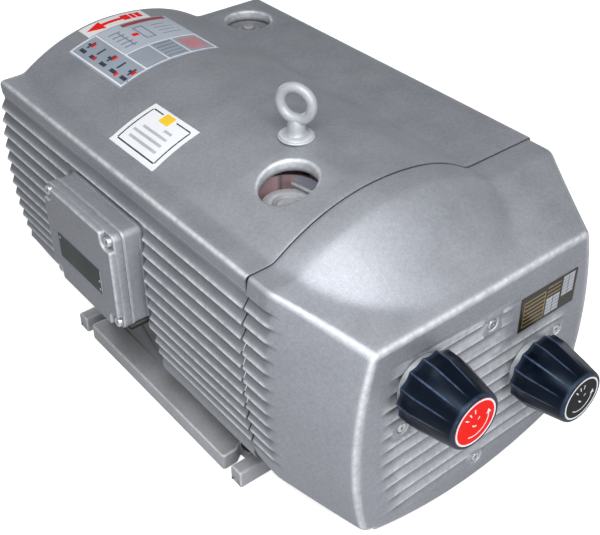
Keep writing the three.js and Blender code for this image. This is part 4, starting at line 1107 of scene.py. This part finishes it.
class PUMP_OT_terminal_box(bpy.types.Operator):
    """The terminal box: cast base, lid with notched corners, socket screws and a riveted plate"""

    bl_idname = "pump.terminal_box"
    bl_label = "Terminal box"

    def execute(self, context):
        (y0, y1), (z0, z1) = BOX_Y, BOX_Z
        x_lid, x_split, x_back = BOX_X
        plain = rounded_outline([(y0, z0), (y1, z0), (y1, z1), (y0, z1)], 9, 8)
        base = Surface()
        slab(base, plain,
             [[0, 1], [-0.6, 0.3], [-1.6, 0], [-4.2, 0], [-4.7, 0.8], [-20.8, 0.8], [-21.4, 0], [-23.8, 0],
              [-24.6, 0.5], [-24.9, 1.3]], "x", 0.5, x_back)
        finish_piece("terminal_box_tray", base, "box_shaded_paint_finish",
                     ["terminal_box_base"])
        n = BOX_NOTCH
        notched = rounded_outline([
            (y0 + n, z0), (y1 - n, z0), (y1 - n, z0 + n), (y1, z0 + n), (y1, z1 - n), (y1 - n, z1 - n),
            (y1 - n, z1), (y0 + n, z1), (y0 + n, z1 - n), (y0, z1 - n), (y0, z0 + n), (y0 + n, z0 + n)],
            [4, 4, 7] * 4, 6)
        lid = Surface()
        slab(lid, plain, [[-0.1, 1.2], [-0.6, 0.3], [-1.5, 0], [-8.4, 0], [-9.8, 0.5], [-10.4, 1.5]], "x",
             0.7, x_split)
        slab(lid, notched, [[-9, 0.3], [-13.5, 0.5], [-15.2, 0.8], [-16.2, 1.2], [-16.8, 1.8], [-17, 2.6]],
             "x", 0.8, x_split)
        finish_piece("terminal_box_cover", lid, "box_shaded_paint_finish",
                     ["terminal_box_lid"])
        corners = [(y, z) for y in (y0 + 9, y1 - 9) for z in (z0 + 9, z1 - 9)]
        for i, (y, z) in enumerate(corners):
            screw = Surface()
            socket_screw(screw, (0, y, z), 5.8, 2.7, x_split - 15.0, x_split - 10.2, "x")
            finish_piece(f"box_screw_{i + 1}", screw, "zinc_finish",
                         [f"lid_screw_{i + 1}"])
        plate = Surface()
        outline = rounded_outline([(348, 192), (445, 192), (445, 227), (348, 227)], 2.5, 5)
        slab(plate, outline, [[0.6, 0], [0.2, 0], [0.15, 0.4]], "x", 0.8, x_lid)
        finish_piece("lid_plate", plate, "lid_plate_finish")
        trim = Surface()
        for y, z in ((352, 209.5), (441, 221), (352.5, 198)):
            trim.lathe([[0, 0.3], [1.9, 0.3], [1.7, 0.08], [0, 0.02]], (x_lid, y, z), "x", 20)
        strip = rounded_outline([(347.2, 193), (349.2, 193), (349.2, 226), (347.2, 226)], 0.4, 3)
        slab(trim, strip, [[0.3, 0], [0.1, 0], [0.05, 0.2]], "x", 0.8, x_lid)
        finish_piece("lid_plate_rivets", trim, "zinc_finish", merge=FINE)
        # A dark rubber-coloured strip under the box: painted shade where its underside meets the hood.
        shade_strip = Surface()
        under = rounded_outline([(y0 + 2, z0 - 5.5), (y1 - 24, z0 - 5.5), (y1 - 24, z0 - 0.2),
                                 (y0 + 2, z0 - 0.2)], 1, 4)
        slab(shade_strip, under, bevel_rows(x_back - 0.6, x_split - 2.0, 0.8), "x", 0.0)
        finish_piece("box_shade_strip", shade_strip, "rubber_finish")
        return {"FINISHED"}


class PUMP_OT_base(bpy.types.Operator):
    """The base: two cross beams, two foot rails and four rubber buffers"""

    bl_idname = "pump.base"
    bl_label = "Base and buffers"

    def execute(self, context):
        for name, (y0, y1) in (("front", (163.0, 183.0)), ("rear", (515.0, 535.0))):
            surface = Surface()
            outline = rounded_outline([(y0, 0), (y1, 0), (y1, BEAM_HEIGHT), (y0, BEAM_HEIGHT)],
                                      [0.8, 0.8, 6, 3], 7)
            slab(surface, outline, bevel_rows(-BEAM_HALF, BEAM_HALF, 2.0), "x", 0.9)
            finish_piece(f"{name}_beam", surface, "base_paint_finish",
                         [f"{name}_cross_beam"])
        for name, side in (("left", -1), ("right", 1)):
            edge, shelf, notch, inner = (side * (BEAM_HALF - d) for d in (0, 19.5, 29.5, 66))
            corners = [(edge, 197), (edge, 501), (shelf, 501), (notch, 494), (notch, 514.7), (inner, 514.7),
                       (inner, 183.3), (notch, 183.3), (notch, 204), (shelf, 197)]
            outline = rounded_outline(corners if side < 0 else corners[::-1],
                                      [4, 4, 3, 2, 1, 1, 1, 1, 2, 3], 5)
            surface = Surface()
            slab(surface, outline[::-1], bevel_rows(0, BEAM_HEIGHT, 2.2), "z", 0.9)
            finish_piece(f"{name}_rail", surface, "base_paint_finish",
                         [f"{name}_foot_rail"])
        for i, (x, y) in enumerate([(-156.5, 192), (156.5, 192), (-156.5, 506), (156.5, 506)]):
            low, high = BEAM_HEIGHT + 0.3, BUFFER_TOP
            t = np.linspace(0, 1, 13)
            waist = BUFFER_RADIUS - 2.6 * np.sin(np.pi * t) ** 0.7
            profile = [[0, low], [BUFFER_RADIUS - 1.2, low]]
            profile += [[r, lerp(low + 0.4, high - 0.4, k)] for r, k in zip(waist, t)]
            profile += [[BUFFER_RADIUS - 1.2, high], [0, high]]
            surface = Surface().lathe(profile, (x, y, 0), "z", 48)
            finish_piece(f"buffer_{i + 1}", surface, "rubber_finish",
                         [f"rubber_buffer_{i + 1}"])
        return {"FINISHED"}


def sheet_on(surface, corners, lift, rows, columns, place):
    """A thin sheet between four corners, blended straight between them and laid on a surface: a face a lift
    above it, with its edge turned down. place(a, b, lift) gives the point at (a, b)."""
    corners = np.asarray(corners, float)
    u = np.concatenate([[0, 0], np.linspace(0, 1, columns), [1, 1]])[None, :, None]
    v = np.concatenate([[0, 0], np.linspace(0, 1, rows), [1, 1]])[:, None, None]
    flat = lerp(lerp(corners[0], corners[1], u), lerp(corners[3], corners[2], u), v)
    edge = np.ones(flat.shape[:2])
    edge[0], edge[-1], edge[:, 0], edge[:, -1] = 0, 0, 0, 0
    return surface.grid(place(flat[..., 0], flat[..., 1], lift * edge), np.where(edge > 0, 0.0, 0.5))


class PUMP_OT_labels(bpy.types.Operator):
    """Stuck-on labels and plates, printed only with bars, frames and arrows"""

    bl_idname = "pump.labels"
    bl_label = "Labels and plates"

    def bars(self, corners, spans, lift, place):
        """Printed bars: each span is (u0, v0, u1, v1) in shares of the label's own corners."""
        surface = Surface()
        corners = np.asarray(corners, float)
        for u0, v0, u1, v1 in spans:
            cut = [lerp(lerp(corners[0], corners[1], u), lerp(corners[3], corners[2], u), v)
                   for u, v in ((u0, v0), (u1, v0), (u1, v1), (u0, v1))]
            sheet_on(surface, cut, lift, 5, 8, place)
        return surface

    def execute(self, context):
        lift = sizes().label_lift / MILLI

        def printed(name, corners, spans, ink, slot="pale_plastic", height=1.6 * lift, place=on_top,
                    up=UPWARD):
            finish_piece(name, self.bars(corners, spans, height, place), ink, merge=FINE, up=up)

        def label(name, corners, film, slot="pale_plastic", height=lift, place=on_top, up=UPWARD):
            sheet = sheet_on(Surface(), corners, height, 24, 24, place)
            finish_piece(name, sheet, film, merge=FINE, up=up)

        side = [(-168, 343), (-108, 336), (-109, 423), (-168, 434)]
        label("side_label", side, "white_print_finish")
        frame_lines = [(0.10, 0.09, 0.125, 0.91), (0.88, 0.09, 0.905, 0.40), (0.88, 0.70, 0.905, 0.91),
                       (0.125, 0.07, 0.88, 0.09), (0.125, 0.91, 0.88, 0.93)]
        printed("side_label_frame", side, frame_lines, "ink_finish", "black_disc")
        ends = (0.80, 0.84, 0.76, 0.42)
        rows = [(0.24 + 0.13 * i, 0.20 + 0.02 * i, 0.29 + 0.13 * i, end) for i, end in enumerate(ends)]
        printed("side_label_lines", side, rows, "pale_ink_finish")
        printed("side_label_field", side, [(0.74, 0.46, 0.95, 0.66)], "amber_print_finish")

        guide = [(-119, 487), (25, 487), (25, 614), (-119, 614)]
        label("guide_label", guide, "film_finish")
        printed("guide_label_panel", guide, [(0.29, 0.42, 0.985, 0.985)], "pale_film_finish")
        border = [(0.015, 0.015, 0.985, 0.03), (0.015, 0.97, 0.29, 0.985), (0.015, 0.03, 0.03, 0.97),
                  (0.97, 0.03, 0.985, 0.42), (0.27, 0.03, 0.285, 0.97), (0.285, 0.40, 0.97, 0.415),
                  (0.50, 0.03, 0.51, 0.40), (0.72, 0.03, 0.73, 0.40)]
        printed("guide_label_border", guide, border, "white_print_finish")
        signs = [(0.07, 0.05 + 0.19 * i, 0.105, 0.15 + 0.19 * i) for i in range(5)]
        signs += [(0.13, 0.09 + 0.19 * i, 0.22, 0.115 + 0.19 * i) for i in range(5)]
        signs += [(0.16, 0.07 + 0.38 * i, 0.185, 0.15 + 0.38 * i) for i in range(3)]
        printed("guide_label_signs", guide, signs, "ink_finish", "black_disc")
        reds = [(0.15, 0.055, 0.20, 0.085), (0.06, 0.205, 0.10, 0.235), (0.17, 0.435, 0.22, 0.465),
                (0.07, 0.63, 0.11, 0.655), (0.16, 0.82, 0.21, 0.85), (0.50, 0.66, 0.56, 0.72)]
        printed("guide_label_red_signs", guide, reds, "red_print_finish", "red_disc", 2 * lift)
        drawing = [(0.34, 0.52 + 0.08 * i, 0.46, 0.54 + 0.08 * i) for i in range(5)]
        drawing += [(0.42, 0.50, 0.435, 0.86), (0.58, 0.54, 0.66, 0.56), (0.58, 0.82, 0.66, 0.84),
                    (0.57, 0.54, 0.585, 0.84), (0.655, 0.54, 0.67, 0.84), (0.74, 0.55, 0.92, 0.565),
                    (0.74, 0.63, 0.90, 0.645), (0.74, 0.71, 0.92, 0.725), (0.74, 0.79, 0.88, 0.805)]
        drawing += [(0.53, 0.07 + 0.07 * i, 0.70, 0.09 + 0.07 * i) for i in range(5)]
        printed("guide_label_drawing", guide, drawing, "film_ink_finish", "black_disc")
        printed("guide_label_cell", guide, [(0.76, 0.08, 0.94, 0.34)], "pale_red_finish")
        printed("guide_label_heading", guide, [(0.52, 0.91, 0.96, 0.975)], "dark_red_finish", "red_disc",
                2 * lift)

        arrow = [(-87, 615), (5, 615), (5, 642), (-87, 642)]
        label("arrow_label", arrow, "white_print_finish")
        strokes = [(0.27, 0.40, 0.66, 0.64), (0.62, 0.24, 0.74, 0.80), (0.76, 0.24, 0.82, 0.80),
                   (0.84, 0.24, 0.92, 0.80)]
        marks = self.bars(arrow, strokes, lift * 1.6, on_top)
        head = [(-82.4, 628.5), (-59.4, 617.5), (-59.4, 639.5), (-82.4, 628.6)]
        sheet_on(marks, head, lift * 1.6, 6, 6, on_top)
        finish_piece("arrow_label_arrow", marks, "red_print_finish", merge=FINE, up=UPWARD)

        plate = [(55, -122), (145, -122), (145, -77), (55, -77)]
        panel = {"place": on_panel, "up": OUT_OF_PANEL}
        label("panel_plate", plate, "plate_finish", "black_disc", 1.0, **panel)
        rows = [(0.05, 0.10 + 0.12 * i, 0.42, 0.125 + 0.12 * i) for i in range(7)]
        rows += [(0.46, 0.64 + 0.12 * i, 0.70, 0.665 + 0.12 * i) for i in range(3)]
        rows += [(0.05, 0.10, 0.06, 0.84), (0.42, 0.10, 0.43, 0.84)]
        printed("panel_plate_rules", plate, rows, "brass_print_finish", "screw_steel", 1.12, **panel)
        low, high = (0.38, 0.48), (0.58, 0.68, 0.78, 0.88)
        cells = [(u, v, u + 0.115, v + 0.085) for u in (0.46, 0.585) for v in (0.08, 0.18, 0.28, *low)]
        cells += [(u, v, u + 0.10, v + 0.085) for u in (0.74, 0.85) for v in (*low, *high)]
        printed("panel_plate_cells", plate, cells, "pale_ink_finish", "screw_steel", 1.12, **panel)
        return {"FINISHED"}


def rod(surface, start, end, radius):
    """A round rod between two points: rings about its line at a share of the way and of the radius for each
    row, the first and the last drawn in to the line."""
    start, end = np.asarray(start, float), np.asarray(end, float)
    along = (end - start) / np.linalg.norm(end - start)
    across = np.cross(along, [0, 0, 1.0])
    across /= np.linalg.norm(across)
    other = np.cross(along, across)
    angle = (np.arange(24) * 2 * np.pi / 24)[None, :, None]
    rows = np.array([[0, 0], [0, 0.8], [0.02, 1], [0.98, 1], [1, 0.8], [1, 0]])
    ring = across * np.cos(angle) + other * np.sin(angle)
    return surface.grid(start + (end - start) * rows[:, :1, None] + ring * radius * rows[:, 1:, None],
                        round_columns=True)


class PUMP_OT_ports(bpy.types.Operator):
    """What shows through the access holes: the suction boss in its well, and the discharge floor"""

    bl_idname = "pump.ports"
    bl_label = "Ports"

    def execute(self, context):
        x, y = SUCTION
        top = SHOULDER + 6.4
        # The wear's negative values paint shade in the boss's recess; the positive ones are rubbed edges.
        boss = Surface().lathe([[0, -2.4], [11.4, -2.4], [11.9, -2.9], [12.4, -4.6], [15.2, -4.6],
                                [15.8, -4.2], [17.2, -0.5], [18.4, 0], [25.8, 0], [27, -0.7], [27.4, -2.2],
                                [27.6, -16], [0, -16]], (x, y, top), "z", 64,
                               [0, 0.4, 0.2, -0.5, -0.5, 0, 0.5, 0.6, 0.2, 0.7, 0.1, 0, 0])
        finish_piece("suction_boss", boss, "boss_paint_finish")
        profile = [[29, -16], [36, -16], [37.6, -14], [38, -10], [38, 1.5], [38, 4.5], [38, 5.5],
                   [39.5, 5.5], [39.5, -18], [29, -18], [29, -16]]
        angle = np.degrees(np.arange(96) * 2 * np.pi / 96)[None]
        turn = (angle + 180) % 360 - 180
        # Round the well: lighter over one span of angle and darker over the next, as painted light and
        # shade, and a black painted shadow in the gap under the rim.
        lit_and_shaded_bands = np.interp(turn, [-60, 38, 43, 46, 50, 60, 63, 66, 70, 75, 140],
                          [1, 1, 0.2, 0, -0.35, -0.35, -0.8, -0.8, 0.1, 0, 0])
        shade = np.array([-0.3, -0.3, 0, 0, 0, 0, -1, -1, 0, 0, -0.3])[:, None]
        well = Surface().lathe(profile, (x, y, top), "z", 96,
                               np.where(shade < -0.9, -1.0, np.clip(lit_and_shaded_bands + shade, -1, 1)))
        far = ramp((well.points[0] - [x, y, 0]) @ [*FAR_SIDE, 0], -5, 18) * (well.points[0][:, 2] > top)
        well.points[0][:, 2] += 5.0 * far
        finish_piece("suction_well", well, "rust_casting_finish")
        pin = rod(Surface(), (x + 21.5, y + 21, top + 4.5), (x + 27.0, y - 11, top + 4.5), 2.1)
        finish_piece("suction_pin", pin, "boss_paint_finish")
        # Its wear is rubbed edges above zero and painted shade in the inner corners below zero.
        floor = Surface().lathe([[0, 324], [6, 324], [7, 323.2], [7, 321], [14, 321], [15, 320.2],
                                 [15.6, 317.5], [33, 317.5], [36, 318.2], [36, 313], [0, 313]],
                                (*DISCHARGE, 0), "z", 64,
                                [0, 0.5, 0.6, -0.5, 0.1, 0.6, -0.4, -0.1, -0.6, 0, 0])
        finish_piece("discharge_floor", floor, "boss_paint_finish")
        return {"FINISHED"}


class PUMP_OT_inner_finishes(bpy.types.Operator):
    """Finishes for the pieces that the hood hides or shows through its openings"""

    bl_idname = "pump.inner_finishes"
    bl_label = "Inner finishes"

    LOOKS = {
        "rear_grille": "cast_paint_finish", "terminal_block": "pale_plastic_finish",
        "cable_gland": "knob_finish", "spring_seat": "turned_steel_finish",
        "valve_spring": "turned_steel_finish", "valve_disc": "carbon_finish",
        "pump_cylinder": "raw_casting_finish", "port_plug": "zinc_finish",
        "side_plate": "raw_casting_finish", "pump_rotor": "rotor_steel_finish",
        "bearing": "turned_steel_finish", "vane_": "carbon_finish", "coupling_hub": "turned_steel_finish",
        "coupling_spider": "rubber_finish", "fan": "pale_plastic_finish",
        "motor_frame": "base_paint_finish", "motor_stator": "rotor_steel_finish",
        "motor_rotor": "turned_steel_finish", "silencer": "base_paint_finish",
        "filter": "filter_paper_finish",
    }

    def execute(self, context):
        for name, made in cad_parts.items():
            match = [look for key, look in self.LOOKS.items() if key in name]
            chosen = finish(match[0]) if match else finish("cast_paint_finish")
            made.data.materials.clear()
            made.data.materials.append(chosen)
        return {"FINISHED"}


class PUMP_OT_stage(bpy.types.Operator):
    """Pale floor, soft studio light and the camera"""

    bl_idname = "pump.stage"
    bl_label = "Stage, light and camera"

    LAMPS = {
        "key": ((-0.62, -0.55, 1.15), AIM, 0.5, 8), "high": ((-0.30, -0.95, 1.60), AIM, 0.6, 8),
        "front": ((-0.20, -1.60, 1.0), AIM, 0.7, 12), "front_left_low": ((-1.30, -1.40, 0.5), AIM, 0.7, 6),
        "left_low": ((-1.80, 0.0, 0.5), AIM, 0.7, 1), "left_high": ((-0.90, 0.10, 1.70), AIM, 0.6, 5),
        "rear": ((0.40, 1.90, 0.36), (0.0, 0.2, 0.2), 0.6, 6),
        "right": ((1.90, 0.30, 0.36), (0.1, 0.0, 0.2), 0.6, 2),
    }

    def placed(self, name, data):
        """An object that shows the data, in the scene."""
        made = bpy.data.objects.new(name, data)
        bpy.context.scene.collection.objects.link(made)
        return made

    def lamp(self, name, place, target, size, power):
        """A round lamp of a size and power in watts, turned to its target."""
        data = bpy.data.lights.new(name, "AREA")
        data.shape, data.size, data.energy = "DISK", size, power
        made = self.placed(name, data)
        made.location = place
        made.rotation_euler = (Vector(target) - Vector(place)).to_track_quat("-Z", "Y").to_euler()

    def shown(self, tree):
        """1 for what the camera sees, and less for what metal and glass mirror."""
        path = node(tree, "ShaderNodeLightPath").outputs
        mirrored = maths(tree, "MAXIMUM", path["Is Glossy Ray"], path["Is Transmission Ray"])
        return maths(tree, "MAXIMUM", path["Is Camera Ray"], maths(tree, "MULTIPLY", mirrored, MIRRORED))

    def sky(self, scene):
        """White where it shows, and a dim cool light on the object."""
        scene.world = bpy.data.worlds.new("studio")
        scene.world.use_nodes = True
        tree = scene.world.node_tree
        seen = self.shown(tree)
        background = tree.nodes["Background"].inputs
        tree.links.new(blend_colour(tree, seen, (0.93, 0.96, 1.0, 1), (1, 1, 1, 1)), background["Color"])
        tree.links.new(spread(tree, seen, 0.0, 1.0, 0.14, 1.0), background["Strength"])

    def floor(self):
        """A pale floor that keeps the shadow: grey to the object, and near white with a glow where it
        shows."""
        mesh = bpy.data.meshes.new("floor")
        mesh.from_pydata([(x, y, -0.0005) for x, y in ((-6, -6), (6, -6), (6, 6), (-6, 6))], [],
                         [[0, 1, 2, 3]])
        pale = bpy.data.materials.new("floor_pale")
        pale.use_nodes = True
        tree = pale.node_tree
        shader = tree.nodes["Principled BSDF"].inputs
        shader["Roughness"].default_value = 0.9
        shader["Emission Color"].default_value = (1, 1, 1, 1)
        seen = self.shown(tree)
        shade = blend_colour(tree, seen, (0.42, 0.42, 0.43, 1), (0.86, 0.86, 0.86, 1))
        tree.links.new(shade, shader["Base Color"])
        tree.links.new(maths(tree, "MULTIPLY", seen, 0.72), shader["Emission Strength"])
        mesh.materials.append(pale)
        self.placed("floor", mesh)

    def camera(self, scene):
        """The camera, turned to an azimuth, an elevation and a slight roll about its line of sight."""
        camera = bpy.data.cameras.new("camera")
        camera.lens, camera.sensor_width = 61.27, 36.0
        camera.shift_x, camera.shift_y = -0.035, -0.0447
        camera.clip_start, camera.clip_end = 0.05, 60
        eye = self.placed("camera", camera)
        azimuth, elevation, roll = math.radians(-40.0), math.radians(35.7), math.radians(0.5)
        back = Vector((math.sin(azimuth) * math.cos(elevation), -math.cos(azimuth) * math.cos(elevation),
                       math.sin(elevation)))
        eye.location = (ORIGIN + [-631.0, -494.4, 913.3]) * MILLI
        turn = (-back).to_track_quat("-Z", "Y").to_matrix()
        eye.rotation_euler = (turn @ Matrix.Rotation(roll, 3, "Z")).to_euler()
        scene.camera = eye

    def execute(self, context):
        context.scene.view_settings.view_transform = "Standard"
        self.sky(context.scene)
        self.floor()
        for name, lamp in self.LAMPS.items():
            self.lamp(name, *lamp)
        self.camera(context.scene)
        return {"FINISHED"}


OPERATORS = (
    PUMP_OT_stage, PUMP_OT_inner_finishes, PUMP_OT_ports, PUMP_OT_hood, PUMP_OT_cover, PUMP_OT_panel_screws,
    PUMP_OT_knobs, PUMP_OT_lifting_eye, PUMP_OT_terminal_box, PUMP_OT_base, PUMP_OT_labels)


class PUMP_PT_sidebar(bpy.types.Panel):
    """The pump's pieces, sizes and colours"""

    bl_idname = "PUMP_PT_sidebar"
    bl_label = "Vacuum pump"
    bl_space_type = "VIEW_3D"
    bl_region_type = "UI"
    bl_category = "Pump"

    def draw(self, context):
        for made in OPERATORS:
            self.layout.operator(made.bl_idname)
        for settings in (context.scene.pump_sizes, context.scene.pump_colours):
            column = self.layout.column()
            for name in settings.__annotations__:
                column.prop(settings, name)


CLASSES = (PumpSizes, PumpColours, *OPERATORS, PUMP_PT_sidebar)


def register():
    for made in CLASSES:
        bpy.utils.register_class(made)
    bpy.types.Scene.pump_sizes = bpy.props.PointerProperty(type=PumpSizes)
    bpy.types.Scene.pump_colours = bpy.props.PointerProperty(type=PumpColours)


def unregister():
    del bpy.types.Scene.pump_colours
    del bpy.types.Scene.pump_sizes
    for made in reversed(CLASSES):
        bpy.utils.unregister_class(made)


def main():
    register()
    for made in OPERATORS:
        family, name = made.bl_idname.split(".")
        getattr(getattr(bpy.ops, family), name)()


if __name__ == "__main__":
    main()
